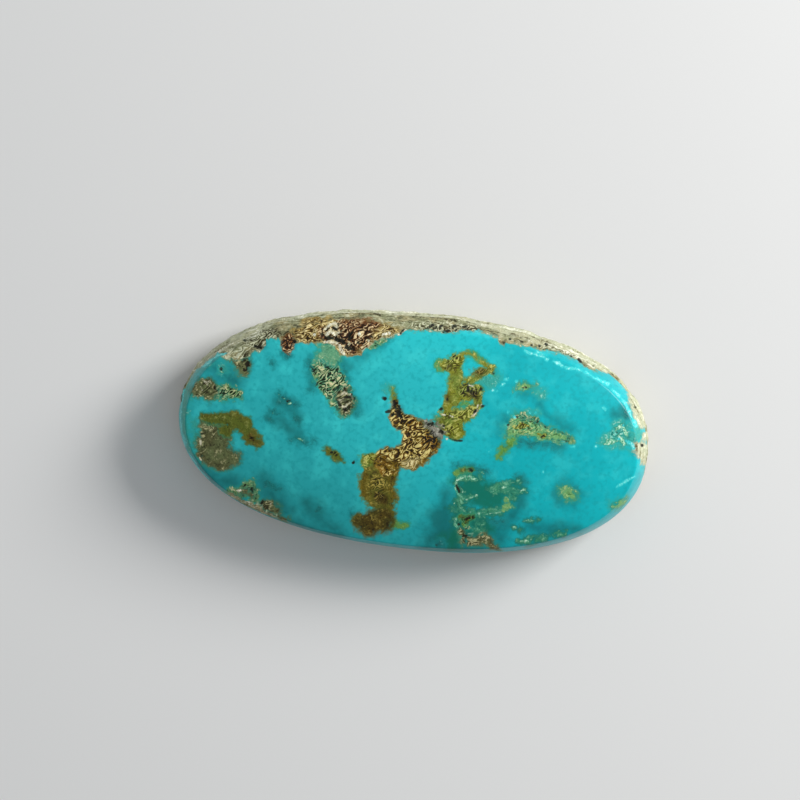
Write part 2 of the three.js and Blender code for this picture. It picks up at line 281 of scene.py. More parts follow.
        ((12.75, 1.5, 0.05),), ((13.5, 1.3, 0.05), (13.6, 1.1, 0.05)),
        ((13.2, 0.7, 0.05), (13.5, 0.6, 0.05)),
        ((12.15, 0.4, 0.07), (12.45, 0.55, 0.11), (12.75, 0.7, 0.1)),
        ((12.95, 0.75, 0.09), (13.2, 0.85, 0.12), (13.45, 0.62, 0.09)),
        ((12.8, 1.35, 0.08), (13, 1.65, 0.11), (13.2, 1.8, 0.08)), ((13.35, 1.45, 0.09), (13.5, 1.2, 0.08)),
    ),
    # pale jade clay
    "sage": (
        ((-5.9, 4.8, 0.62), (-5.8, 4.3, 0.75), (-6, 3.8, 0.82), (-6, 3.2, 0.86), (-5.7, 2.7, 0.86),
         (-5.3, 2.2, 0.86), (-4.9, 1.7, 0.82), (-4.6, 1.2, 0.58), (-4.55, 0.8, 0.36)),
        ((-5.2, 2.9, 0.5),), ((6.7, 1.6, 0.14), (7.4, 1.6, 0.14)),
        ((-11.3, -5.1, 0.25), (-10.6, -5.1, 0.4), (-10, -4.75, 0.45), (-9.8, -5.3, 0.4)),
        ((-12.7, 1.15, 0.45), (-12.1, 1.15, 0.45), (-11.55, 1.15, 0.36)),
        ((-3.4, 5.1, 0.22), (-2.9, 5.4, 0.25), (-2.5, 5.6, 0.18)),
        ((1.25, 0.95, 0.16), (1.5, 0.85, 0.25), (1.9, 0.75, 0.3)),
        ((4.15, -5.6, 0.12), (4.25, -5.8, 0.1), (4.05, -5.9, 0.1)),
        ((7.4, 1, 0.58), (7.9, 0.8, 0.56), (8.6, 0.7, 0.5), (9.3, 0.6, 0.46), (9.75, 0.5, 0.34)),
        ((6.25, 0.5, 0.45), (6.45, 0.95, 0.56), (6.7, 1.25, 0.6), (7.3, 1.2, 0.56)),
    ),
    # soft grey-green clay
    "celadon": (
        ((-6.3, 4.8, 0.3), (-5.9, 4.65, 0.5), (-5.7, 4.25, 0.56)), ((-6.4, 4.2, 0.24),),
        ((6.35, 3.45, 0.18), (6.75, 3.52, 0.26), (7.15, 3.62, 0.18)),
        ((9.9, -2.75, 0.3), (10.1, -3, 0.42), (10.55, -3.25, 0.3)),
    ),
    # yellow-green clay
    "lime": (
        ((6.4, -3.85, 0.12), (6.45, -4.1, 0.2), (6.3, -4.35, 0.14), (6.1, -4.5, 0.06)),
        ((2.2, 0.4, 0.3), (2.6, 0.35, 0.35)), ((13.2, -3.4, 0.1), (13.6, -3.3, 0.14), (13.9, -3.05, 0.07)),
        ((6.3, 0.5, 0.36), (6.45, 1, 0.48), (6.9, 1.05, 0.48), (7.4, 0.95, 0.48), (7.9, 0.75, 0.46),
         (8.5, 0.68, 0.38), (9.2, 0.6, 0.28), (9.6, 0.55, 0.16)),
        ((9.95, -2.78, 0.26), (10.15, -3.03, 0.36), (10.5, -3.22, 0.24)),
        ((6.48, 3.48, 0.14), (6.78, 3.52, 0.19), (7.06, 3.6, 0.12)),
    ),
    # grey-brown clay
    "tan": (
        ((-14, 1.1, 0.35), (-13.6, 1.4, 0.52), (-13.3, 1.5, 0.45), (-13.2, 0.95, 0.35)),
        ((-13.3, -1, 0.3), (-12.9, -1.5, 0.6), (-12.3, -1.8, 0.72), (-12.7, -2.4, 0.88),
         (-12.5, -2.9, 0.82), (-11.9, -3, 0.68), (-11.3, -2.9, 0.4)),
        ((-12.2, -3.4, 0.4),), ((-13.5, -2, 0.25), (-13.4, -2.8, 0.3)),
        ((-13.45, -0.5, 0.2), (-13.4, -1, 0.25)),
        ((-12, 3.7, 0.45), (-11.5, 3.7, 0.6), (-11.3, 3.1, 0.46), (-11.25, 2.7, 0.3)),
        ((-9.1, -5.7, 0.25), (-8.6, -5.75, 0.32), (-8.2, -5.95, 0.25)),
        ((-9.4, -6, 0.15), (-8.4, -6.3, 0.16), (-7.5, -6.55, 0.1)), ((5.2, -6.2, 0.14), (5.5, -6.4, 0.14)),
        ((-4.75, 1.75, 0.5), (-4.5, 1.25, 0.46), (-4.55, 0.85, 0.3)),
        ((3.6, -6.05, 0.12), (3.75, -6.35, 0.2), (3.8, -6.7, 0.2)), ((4.2, -6.5, 0.18), (4.2, -6.8, 0.14)),
        ((-13.4, -0.7, 0.25), (-12.8, -0.85, 0.3), (-12.2, -1, 0.3)),
        ((-10.6, -5.15, 0.06), (-10.3, -5, 0.1), (-9.9, -5.3, 0.1)),
        ((4.5, -6.6, 0.28), (5, -6.55, 0.34), (5.35, -6.5, 0.34), (5.55, -6.75, 0.24), (6.2, -7, 0.1)),
    ),
    # fresh green stain
    "leaf": (
        ((6.35, 0.05, 0.2), (6, -0.3, 0.18), (5.7, -0.65, 0.18), (5.55, -1.05, 0.17), (5.6, -1.25, 0.1)),
        ((-0.7, -6.05, 0.2), (-0.2, -6.1, 0.24), (0.2, -6, 0.12)), ((1.1, 4.4, 0.26), (1.35, 4.3, 0.36)),
        ((3.05, 5.3, 0.13), (3.45, 5.2, 0.17), (3.85, 4.98, 0.16)),
        ((2.98, -2.45, 0.08), (3.2, -2.3, 0.15), (3.6, -2.15, 0.17), (3.95, -2.05, 0.12)),
        ((2.75, 2, 0.08), (3.2, 2.05, 0.13)), ((3.6, -5.15, 0.24), (3.95, -5.25, 0.3), (4.15, -5.1, 0.24)),
        ((3.8, -5.6, 0.18),),
    ),
    # dark olive stain
    "moss": (
        ((-11.9, -1.2, 0.4),),
        ((-5.5, -1.7, 0.12), (-5.1, -1.95, 0.22), (-4.7, -2.2, 0.22), (-4.4, -2.4, 0.16)),
        ((-2.9, -6.05, 0.35),),
        ((-13.4, -0.45, 0.2), (-12.8, -0.55, 0.38), (-12, -0.55, 0.43), (-11.4, -0.55, 0.58),
         (-10.9, -0.7, 0.48), (-10.5, -1.2, 0.4), (-10.15, -1.55, 0.38), (-9.85, -1.75, 0.22)),
        ((3.3, -2.25, 0.05), (3.6, -2.15, 0.08), (3.95, -2.05, 0.06)),
        ((3.75, -5.15, 0.08), (4.1, -5.1, 0.1)),
        ((3.6, -5.15, 0.1), (3.95, -5.25, 0.2), (4.15, -5.1, 0.12)),
    ),
    # olive iron stain
    "olive": (
        ((1.55, 0.8, 0.25), (2, 0.5, 0.5), (2.5, 0.4, 0.62), (2.95, 0.25, 0.36)),
        ((2.2, 1.05, 0.62), (2.6, 1.2, 0.55), (3.1, 1.3, 0.42), (3.5, 1.55, 0.32)),
        ((3.5, 1.6, 0.3), (3.85, 2.1, 0.32), (3.8, 2.5, 0.38), (3.6, 2.9, 0.5)),
        ((1.9, 1.4, 0.34), (1.95, 1.9, 0.3), (2.1, 2.4, 0.42), (2.4, 2.8, 0.5), (2.9, 3, 0.5)),
        ((2.2, 2, 0.3), (2.5, 2.4, 0.3), (3.2, 2.6, 0.35)),
        ((2.4, 3.3, 0.48), (2.35, 3.7, 0.45), (2.2, 4.1, 0.42)),
        ((1.45, 4.35, 0.32), (1.7, 4.4, 0.42), (2.2, 4.6, 0.46), (2.4, 4.95, 0.3), (2.55, 5.2, 0.14)),
        ((2.55, 5.25, 0.13), (3.1, 5.3, 0.08), (3.4, 5.2, 0.1)),
        ((3.8, 5, 0.12), (4.2, 4.65, 0.2), (4.5, 4.4, 0.26), (4.05, 4.35, 0.2), (3.65, 4.15, 0.22),
         (3.5, 3.85, 0.14), (3.3, 3.6, 0.18), (2.95, 3.45, 0.2)),
        ((-1.65, 2.4, 0.1), (-1.5, 2.1, 0.14), (-1.45, 1.8, 0.12)),
        ((6.3, 0.9, 0.1), (6.7, 1.2, 0.16), (7.1, 1.1, 0.1)), ((7.95, 0.6, 0.1), (8.3, 0.6, 0.14)),
        ((-2.2, -2.2, 0.5), (-2.6, -2.2, 0.48), (-2.95, -2.2, 0.3)),
    ),
    # ochre filling of the lower vein
    "ochre": (
        ((-1.75, -2.9, 0.95), (-2.05, -3.5, 1.12), (-1.95, -4, 1), (-1.6, -4.4, 0.9), (-1.3, -5, 0.52),
         (-1.3, -5.5, 0.5)),
        ((-2.5, -4.3, 0.46),),
    ),
    # brown foot that the vein ends in, and brown hearts of other patches
    "umber": (
        ((-1.5, -5.75, 0.6), (-1.9, -5.95, 0.7), (-2.3, -6.2, 0.72), (-2.75, -6.1, 0.48)),
        ((-2.3, -6.6, 0.4),), ((-1.3, -6.1, 0.5),), ((-10.3, -1.5, 0.2), (-10, -1.7, 0.15)),
        ((1.85, 2.5, 0.08), (1.9, 2.25, 0.06)), ((-1.9, -4.35, 0.3), (-1.4, -4.6, 0.36)),
        ((-1.8, -2.3, 0.2), (-1.5, -2.45, 0.2)), ((3.3, 2.75, 0.1), (3.7, 2.65, 0.16)),
        ((1.75, 4.28, 0.08),), ((3.5, 4.15, 0.05), (3.75, 4.2, 0.1), (4, 4.38, 0.05)),
    ),
    # golden brown heart of the main vein
    "gold": (
        ((-1.45, 1.65, 0.2), (-1.25, 1.05, 0.4), (-0.95, 0.6, 0.48), (-0.45, 0.3, 0.6), (0.1, 0.1, 0.7),
         (0.3, -0.4, 0.95), (0.7, -0.55, 0.88), (1.15, -0.7, 0.62)),
        ((0.5, -1.5, 0.58), (0.1, -1.9, 0.52)),
        ((0.5, -1, 0.92), (-0.1, -1.45, 0.78), (-0.9, -1.8, 0.7), (-1.7, -2.05, 0.66), (-2.1, -2.1, 0.36)),
        ((-1.2, -2.3, 0.6), (-1.6, -2.6, 0.48)),
    ),
    # grey spot where the two veins meet
    "ash": (
        ((1.3, 0.65, 0.16),), ((1, 0.52, 0.3), (1.4, 0.2, 0.4), (1.75, 0.05, 0.3)),
    ),
    # buff and rust-stained rock at the back
    "buff": (
        ((-8.1, 5.55, 0.32), (-7.8, 5.6, 0.4), (-7.2, 5.7, 0.55), (-6.7, 5.6, 0.5)),
        ((-8, 5.25, 0.25), (-7.2, 5.25, 0.25), (-6.6, 5.25, 0.25)), ((-6.6, 6.2, 0.3), (-6, 6.3, 0.35)),
        ((-3, 6.15, 0.42), (-2.5, 6.25, 0.38), (-1.9, 6.3, 0.25)),
        ((-5.3, 4.8, 0.2), (-4.8, 4.6, 0.22), (-4.3, 4.7, 0.2)), ((-3.5, 5.7, 0.3), (-3.1, 6, 0.4)),
        ((-7.8, 6.25, 0.14), (-7.3, 6.4, 0.2), (-6.9, 6.5, 0.2)),
        ((-0.35, -2.05, 0.14), (0, -2, 0.24), (0.35, -1.95, 0.14)),
    ),
    "rust": (
        ((-4.7, 5, 0.5), (-4.5, 4.8, 0.3)), ((-8.6, 4.85, 0.4), (-8.55, 4.6, 0.36), (-8.6, 4.35, 0.15)),
        ((-6.3, 5.7, 0.4), (-5.6, 5.6, 0.5), (-5, 5.7, 0.75), (-4.4, 5.7, 0.85), (-3.9, 5.7, 0.6)),
        ((-5.2, 6.1, 0.45), (-4.6, 6.3, 0.42), (-3.9, 6.4, 0.38), (-3.2, 6.5, 0.22)),
    ),
    # where the minerals are coarse, with strong dark and light grains
    "grain": (
        ((-7.8, 5.5, 0.5), (-7.2, 5.7, 0.7), (-6.5, 5.7, 0.8), (-5.5, 5.7, 0.9), (-4.5, 5.6, 1),
         (-3.5, 5.9, 0.7), (-2.2, 6.2, 0.5)),
        ((-4.8, 4.8, 0.5),), ((-6.2, 3.3, 0.5), (-5.6, 2.7, 0.8), (-4.9, 1.9, 0.9), (-4.6, 1.1, 0.6)),
        ((6.4, 1, 0.6), (7.4, 1.1, 0.6)), ((8.5, 0.8, 0.2), (9.3, 0.7, 0.2)),
        ((1.7, 4.4, 0.4), (2.2, 4.7, 0.5)), ((3.1, 3, 0.5), (3.8, 2.8, 0.5)),
        ((1.9, 1.2, 0.3), (2.9, 1.3, 0.3), (3.7, 1.7, 0.4)), ((-8.55, 4.65, 0.5),), ((-11.5, 3.6, 0.6),),
        ((3.6, -5.7, 0.5), (4, -6.4, 0.5)), ((-0.6, 6.7, 0.25), (1.5, 6.85, 0.35), (3.2, 7, 0.3)),
        ((7.8, 6.4, 0.3), (10, 5.8, 0.4)), ((-10.8, 4.6, 0.6), (-9.6, 5.3, 0.4)),
        ((3.7, 4.2, 0.2), (4.4, 4.4, 0.2)), ((3.6, -2.2, 0.2),), ((10.1, -3, 0.1),),
        ((12.6, 1, 0.3), (13.1, 1.4, 0.3)), ((-8.7, -5.8, 0.4),), ((2.2, 0.4, 0.3), (2.6, 0.5, 0.3)),
        ((-13.4, -1.2, 0.1), (-13.4, -2.9, 0.1)),
        ((-13.6, 1.5, 0.25), (-13.2, 1.2, 0.2), (-12.4, 1.15, 0.3), (-11.6, 1.15, 0.25)),
        ((-1.2, 1.2, 0.5), (-0.5, 0.2, 0.8), (0.4, -0.6, 1.1), (-0.3, -1.5, 0.9), (-1, -1.6, 0.5),
         (-2, -1.75, 0.3), (-2.7, -2.1, 0.3)),
        ((-1.4, -2.8, 0.2), (-2, -3.4, 0.4), (-1.8, -4.3, 0.35)),
    ),
    # where the grain is darker
    "dark_grain": (
        ((0.9, -0.15, 0.3), (1.4, -0.45, 0.3)), ((1, 0.5, 0.14),), ((2.95, 3.1, 0.16), (3.65, 2.95, 0.14)),
        ((-4.5, 1.65, 0.2), (-4.2, 1.75, 0.16)), ((-4.9, 1.15, 0.18), (-4.65, 0.85, 0.2)),
        ((-4.9, 2.8, 0.14),), ((-6.45, 2.4, 0.14), (-6.1, 2, 0.12)), ((-6.7, 3.3, 0.12),),
        ((-5.9, 3.5, 0.1), (-5.4, 3.4, 0.1)), ((-5.5, 5.4, 0.2), (-5.1, 5.3, 0.2)),
        ((-6.5, 5.25, 0.12), (-6.1, 5.25, 0.1)), ((-4.8, 5.5, 0.2), (-4.55, 6.1, 0.25)),
        ((-4.4, 4.9, 0.15),), ((-3.9, 5.4, 0.18),), ((-8.7, 4.75, 0.18), (-8.4, 4.8, 0.14)),
        ((-10.65, 4.3, 0.16), (-10.3, 4.3, 0.14)), ((-11.1, 3.3, 0.2), (-11.1, 2.8, 0.15)),
        ((-13.5, 1.6, 0.14), (-13.3, 1.75, 0.12)), ((-12.5, 1.1, 0.14),), ((-9.95, -4.9, 0.12),),
        ((-9.2, -5.6, 0.16),), ((-10.2, -1.6, 0.15),), ((3.7, -5.25, 0.2), (4.2, -5.15, 0.2)),
        ((-4.9, -2, 0.12),), ((0.2, 6.72, 0.08), (1.4, 6.75, 0.1), (2.9, 6.95, 0.08)),
        ((-10.2, 5.3, 0.12), (-9.5, 5.5, 0.12)), ((-7.4, 5.3, 0.14),), ((-7, 6.1, 0.12),),
        ((2.85, 3.25, 0.1), (2.9, 3, 0.1)), ((3.65, 2.9, 0.1), (3.75, 3.05, 0.1)),
        ((1.3, 4.7, 0.06), (1.45, 4.6, 0.06)), ((1.85, 4.95, 0.08), (2.1, 5.05, 0.07)),
        ((2.5, 5.15, 0.08),), ((0.85, 0.5, 0.12), (1.2, 0.6, 0.12)), ((1.75, 0.2, 0.1),),
        ((-13.7, 1.3, 0.1),), ((-5.2, 2.1, 0.14),),
        ((-6.95, 3.6, 0.08), (-6.75, 2.9, 0.1), (-6.4, 2.2, 0.1)), ((-12.9, 1.3, 0.1),),
        ((-11.9, 1.2, 0.1),), ((6.2, 0.55, 0.1),), ((8.2, 0.55, 0.12),), ((7.3, 0.6, 0.1),),
        ((-0.7, 0.55, 0.16), (-0.4, 0.3, 0.14)), ((-4.85, 1.5, 0.12), (-4.6, 1.65, 0.14)),
        ((-4.3, 1.2, 0.1),), ((-4.75, 2.2, 0.1),), ((2.9, 2.75, 0.16),),
        ((3.5, 2.75, 0.2), (3.7, 2.6, 0.16)), ((2.1, 1.5, 0.1),), ((-13.6, 1.3, 0.2),),
        ((-1.4, 1.5, 0.2), (-1.1, 1.15, 0.2)), ((1.1, -0.5, 0.4), (1.3, -0.8, 0.2)), ((0.3, 0.1, 0.1),),
        ((0.5, -1.1, 0.1),), ((-10.3, -4.7, 0.1),),
    ),
    # where the grain is paler
    "pale_grain": (
        ((-0.1, -1.9, 0.2), (-0.3, -2.2, 0.16)), ((1.2, -0.9, 0.1), (1.05, -1.3, 0.1)),
        ((-1.6, -1.6, 0.12), (-1.35, -1.9, 0.12)), ((-2.8, -2.15, 0.2),), ((2.6, 1, 0.16),),
        ((-4.3, 1.95, 0.12),), ((-4.75, 1.9, 0.14),), ((-4.35, 1.35, 0.12),), ((-5.5, 2.4, 0.15),),
        ((-6, 3.1, 0.12),), ((-6.2, 6.1, 0.22), (-5.9, 6.3, 0.2)), ((-5.9, 5.85, 0.2), (-5.7, 5.6, 0.2)),
        ((-6.1, 5.15, 0.14), (-5.6, 5.2, 0.14)), ((-5.25, 4.85, 0.16), (-5.1, 4.6, 0.14)),
        ((-4.1, 5.8, 0.18),), ((-3.45, 5.7, 0.14), (-3.5, 5.4, 0.12)), ((-2.8, 6, 0.15),),
        ((-6.7, 5.6, 0.2),), ((-13.4, -1.2, 0.15),), ((-13.4, -0.5, 0.15),), ((-11.2, -2.7, 0.1),),
        ((-13.75, 1.8, 0.12),), ((-14, 0.9, 0.2), (-13.3, 0.8, 0.2)),
        ((-10.2, -5.6, 0.12), (-9.5, -5.85, 0.12)), ((-8.6, -5.6, 0.1),), ((7.1, 0.6, 0.2),),
        ((6.2, 0.9, 0.15),), ((6.6, 3.45, 0.1),), ((-12.1, 3.7, 0.3), (-11.7, 3.5, 0.3)),
        ((10.2, -3.1, 0.2),), ((-12.9, 4, 0.3),), ((-4.55, 1.1, 0.12),), ((-4.1, 5.1, 0.12),),
        ((3.25, 3.3, 0.1), (3.5, 3.25, 0.1)), ((2.4, 4.6, 0.08),), ((1.9, 0.45, 0.08),),
        ((3.85, 2.1, 0.1),), ((3.7, -6.25, 0.1), (4.4, -6.2, 0.1)), ((6.4, 0.7, 0.14), (6.9, 0.5, 0.14)),
        ((7.6, 0.7, 0.12),), ((-4.5, 2.05, 0.12),), ((-4.7, 1.3, 0.1),),
        ((-0.6, -1.75, 0.12), (-0.3, -1.7, 0.1)), ((0.1, -1.95, 0.14), (0.4, -2, 0.1)),
        ((-2.1, -1.75, 0.1), (-1.9, -1.6, 0.1)), ((1.45, -0.75, 0.08), (1.2, -1.15, 0.08)),
        ((-1, 0.35, 0.08), (-0.7, 0.15, 0.08)), ((-13.2, -1.1, 0.2), (-12.7, -1.5, 0.16)),
        ((-12.7, -0.5, 0.12), (-12.1, -0.45, 0.12)), ((-1.7, -5.2, 0.08), (-1.5, -5.4, 0.06)),
        ((-2.2, -5.7, 0.06), (-1.9, -5.9, 0.06)), ((4.6, -6.55, 0.2), (5.2, -6.5, 0.22)),
    ),
    # single dark pits
    "pit": (
        ((-2.3, 1.9, 0.05), (-2.05, 1.9, 0.08)), ((-1.85, 1.08, 0.06), (-1.65, 1.1, 0.07)),
        ((-1.5, 1.75, 0.08), (-1.45, 1.5, 0.08), (-1.3, 1.3, 0.08)), ((-1.1, 1.45, 0.07), (-1, 1.3, 0.07)),
        ((-1.15, 1.05, 0.07), (-0.95, 0.85, 0.08)), ((-1.45, 0.95, 0.08),), ((1.85, 0.5, 0.08),),
        ((1.75, 0.2, 0.07), (1.85, 0.05, 0.07)), ((3.1, 3.15, 0.09), (3.15, 3.05, 0.08)),
        ((3.37, 2.95, 0.07),), ((3.98, 3.1, 0.07),), ((4.15, 2.05, 0.06), (4.3, 2.1, 0.06)),
        ((3.7, 1.6, 0.06), (3.8, 1.75, 0.06)), ((1.55, 1.6, 0.07),), ((1.9, 2.25, 0.07),),
        ((4.62, 4.2, 0.07),), ((-3.62, -2.38, 0.07),), ((-5.1, -1.9, 0.07),),
        ((3.08, -3.15, 0.06), (3.2, -3.4, 0.08), (3.28, -3.58, 0.06)),
        ((3.75, -2.05, 0.06), (3.92, -2.12, 0.07)), ((3.45, -5.68, 0.08),),
        ((3.75, -6.4, 0.05), (4.05, -6.35, 0.05)), ((5.9, 1, 0.07),), ((8.3, 1.15, 0.06),),
        ((9.7, 0.35, 0.07),), ((7.2, 0.9, 0.06),), ((7.8, 6.45, 0.08),), ((7.4, 6.3, 0.06),),
        ((0.35, 6.85, 0.06), (0.5, 6.95, 0.05)), ((0.75, 6.75, 0.06),),
        ((1, 6.9, 0.06), (1.15, 6.98, 0.05)), ((1.2, 6.62, 0.06), (1.5, 6.7, 0.06)),
        ((1.75, 6.95, 0.06), (1.9, 7.02, 0.05)), ((2, 6.77, 0.06),), ((2.4, 7, 0.05), (2.6, 7.08, 0.05)),
        ((2.7, 6.85, 0.05),), ((3.3, 6.9, 0.06),), ((3.2, 7.3, 0.06),), ((-11.4, 4.7, 0.07),),
        ((-10.75, 4.35, 0.07), (-10.45, 4.3, 0.08), (-10.25, 4.2, 0.07)),
        ((-1.5, 6.15, 0.06), (-1.3, 6.4, 0.06)), ((-8.2, 4.9, 0.08),),
        ((-5.5, 5.35, 0.1), (-5.2, 5.35, 0.1), (-5.05, 5.15, 0.08)), ((-6, 5.45, 0.07), (-5.75, 5.4, 0.07)),
        ((-6.4, 5.25, 0.07),), ((-4.75, 5.5, 0.08), (-4.65, 5.9, 0.08)),
        ((-4.9, 4.9, 0.07), (-4.55, 4.85, 0.08)), ((-5.6, 5.95, 0.07),), ((-4.2, 5.3, 0.08),),
        ((12.9, 1.3, 0.06),), ((13.2, 1.75, 0.06),), ((13.9, 3, 0.06),), ((14.6, 0.6, 0.07),),
        ((-9.2, -5.6, 0.08),), ((-9.95, -4.85, 0.07),), ((-12.65, 2.65, 0.07),), ((-12.5, 1.15, 0.07),),
        ((0.85, 0.5, 0.05), (1.15, 0.6, 0.06)), ((-4.55, 1.72, 0.08), (-4.25, 1.75, 0.07)),
        ((-4.7, 1.42, 0.06),), ((-4.9, 1.15, 0.07),), ((-4.6, 0.9, 0.08), (-4.4, 0.85, 0.05)),
        ((-4.95, 1.9, 0.05),), ((-6.85, 3.3, 0.05),), ((-6.3, 2.15, 0.05),), ((6.45, 1.6, 0.04),),
        ((-6.2, 5.98, 0.06),), ((-5.85, 6.08, 0.06), (-5.7, 6, 0.05)), ((-6.4, 6.15, 0.05),),
        ((-5.5, 6.3, 0.05),), ((-5.3, 5.9, 0.06),), ((-6.5, 5.6, 0.05),), ((-3.3, 5.75, 0.05),),
        ((-2.9, 5.85, 0.05),), ((5.5, 6.55, 0.05),), ((6.2, 6.45, 0.05), (6.35, 6.4, 0.04)),
        ((6.9, 6.3, 0.05),), ((8.9, 6.15, 0.05),), ((11, 5.4, 0.05),), ((4.3, 6.85, 0.05),),
        ((0.9, 0.55, 0.07), (1.15, 0.66, 0.07)), ((-8.3, 1.05, 0.035),), ((-8.55, 1.3, 0.035),),
        ((-8.1, 1.15, 0.03),), ((2.2, -7.12, 0.04),),
        ((2.25, -0.2, 0.035), (2.7, -0.3, 0.025), (3.1, -0.3, 0.03)),
        ((6.62, 3.48, 0.035), (6.85, 3.5, 0.03)), ((7.3, 1.4, 0.045),), ((7.75, 1.42, 0.035),),
        ((6.6, 0.65, 0.04),), ((6.8, 1.32, 0.035),), ((6.5, 1.1, 0.035),),
        ((10, 5.66, 0.08), (10.12, 5.55, 0.08)), ((10.4, 5.36, 0.06),), ((9.5, 5.88, 0.06),),
        ((8.1, 6.1, 0.05),), ((-4.35, 1.1, 0.06),), ((-5.05, 1.3, 0.05),), ((-4.5, 1.55, 0.05),),
        ((-4.15, 1.95, 0.04),),
    ),
    # single pale grains
    "cream": (
        ((-1.6, 6.05, 0.06), (-1.2, 6.4, 0.07)),
        ((-6.35, 5.9, 0.07), (-6.1, 6.2, 0.09), (-5.8, 6.35, 0.09), (-5.6, 6.15, 0.08)),
        ((-6.2, 5.6, 0.08), (-5.95, 5.8, 0.1), (-5.7, 5.65, 0.09), (-5.45, 5.8, 0.08)),
        ((-6.3, 5.1, 0.07), (-5.9, 5.15, 0.08), (-5.5, 5.18, 0.08)),
        ((-5.3, 5, 0.07), (-5.2, 4.7, 0.07), (-4.95, 4.45, 0.08)), ((-4.1, 5.85, 0.1),),
        ((-4.75, 5.1, 0.07),), ((-3.5, 5.5, 0.08),), ((-2.6, 5.95, 0.08), (-2.2, 6.1, 0.07)),
        ((-7, 5.5, 0.07),), ((4.1, 2.14, 0.06),), ((2.15, -0.25, 0.07),),
        ((1.75, 0.6, 0.05), (1.9, 0.4, 0.06)), ((-1.3, 1.3, 0.07),), ((-5.4, 2.6, 0.04),),
        ((-6.1, 3, 0.04),), ((3.15, 3.3, 0.035), (3.45, 3.28, 0.04)), ((3.5, 3.1, 0.035),),
        ((1.65, 1.27, 0.035), (1.85, 1.25, 0.035)), ((2.15, 1.22, 0.035), (2.4, 1.2, 0.04)),
        ((3.6, 1.35, 0.03), (3.8, 1.55, 0.04), (3.9, 1.75, 0.03)), ((2.6, 1.05, 0.045),),
        ((3.85, 2, 0.04), (3.85, 2.15, 0.04)), ((-10.85, -4.95, 0.04), (-10.65, -4.97, 0.04)),
        ((-10.2, -5.6, 0.035), (-9.8, -5.75, 0.04)), ((-8.6, -5.6, 0.05),),
        ((-13.5, -2, 0.025), (-13.45, -2.3, 0.02)), ((-13.45, -3.05, 0.02), (-13.3, -3.25, 0.03)),
        ((-4.9, 1.8, 0.048), (-4.75, 2, 0.064), (-4.5, 1.97, 0.056)),
        ((-4.28, 1.95, 0.064), (-4.18, 1.7, 0.048)), ((-5, 1.5, 0.048), (-4.85, 1.32, 0.048)),
        ((-4.45, 1.28, 0.064), (-4.25, 1.45, 0.056)), ((-4.7, 1.05, 0.056), (-4.52, 1.1, 0.04)),
        ((-4.42, 0.75, 0.048),), ((-4.7, 1.6, 0.04),),
        ((-13.75, 1.85, 0.03), (-13.55, 1.7, 0.04), (-13.4, 1.52, 0.03)),
        ((-13.85, 1.4, 0.03), (-13.7, 1.22, 0.035)), ((-13.35, 1.82, 0.03), (-13.2, 1.7, 0.035)),
    ),
    # hard pale specks in the turquoise, and painted highlight streaks along the crease and edges of the
    # bevel
    "specks_and_painted_glints": (
        ((4.7, 3.1, 0.05),), ((5, 3.13, 0.05),), ((5.25, 3.45, 0.05), (5.4, 3.6, 0.05)),
        ((5.5, 3.9, 0.08),), ((5.65, 4, 0.05),), ((6.15, 3.9, 0.06),), ((5.85, 1.87, 0.05),),
        ((6.25, 1.6, 0.05),), ((7.3, 1.95, 0.05),), ((7.6, 2, 0.05),),
        ((10, 0.02, 0.06), (10.2, 0.08, 0.05)), ((11.65, 0.2, 0.07),),
        ((11.8, 2.75, 0.05), (11.95, 2.65, 0.05)), ((8.45, -1.72, 0.06),), ((13.25, 1.75, 0.05),),
        ((13, 0.85, 0.06),), ((4.9, -0.75, 0.05),), ((13.2, -2.2, 0.035), (14.35, -1.4, 0.035)),
        # painted highlights: bright streaks along the bevel's crease at the back right and left, and along
        # the left and front edges, where the light catches the edge
        ((6.5, 5.85, 0.03), (7.3, 5.65, 0.05), (8, 5.45, 0.04)), ((7.2, 5.82, 0.02), (7.9, 5.65, 0.03)),
        ((8.4, 5.4, 0.04), (9, 5.1, 0.06)), ((9.2, 5.05, 0.03), (9.8, 5, 0.05), (10.2, 4.95, 0.04)),
        ((10.5, 4.85, 0.04), (11.3, 4.5, 0.05)), ((11.2, 4.6, 0.03), (12, 4.3, 0.05)),
        ((12.3, 4.05, 0.03), (12.8, 3.6, 0.06)),
        ((13, 3.4, 0.04), (13.3, 3.1, 0.06), (13.7, 2.4, 0.05), (14.1, 1.8, 0.05)),
        ((-13.8, 2.7, 0.04), (-13.5, 3, 0.06), (-13, 3.5, 0.06), (-12.5, 3.7, 0.04)),
        ((-14.86, 1.1, 0.03), (-14.95, 0.2, 0.05), (-14.93, -0.6, 0.05), (-14.77, -1.5, 0.05),
         (-14.45, -2.4, 0.04)),
        ((-14.1, -3, 0.03), (-13.5, -3.8, 0.04), (-12.8, -4.5, 0.03)),
        ((13.6, 0.85, 0.05), (13.85, 0.6, 0.1), (14, 0.4, 0.09)),
    ),
}
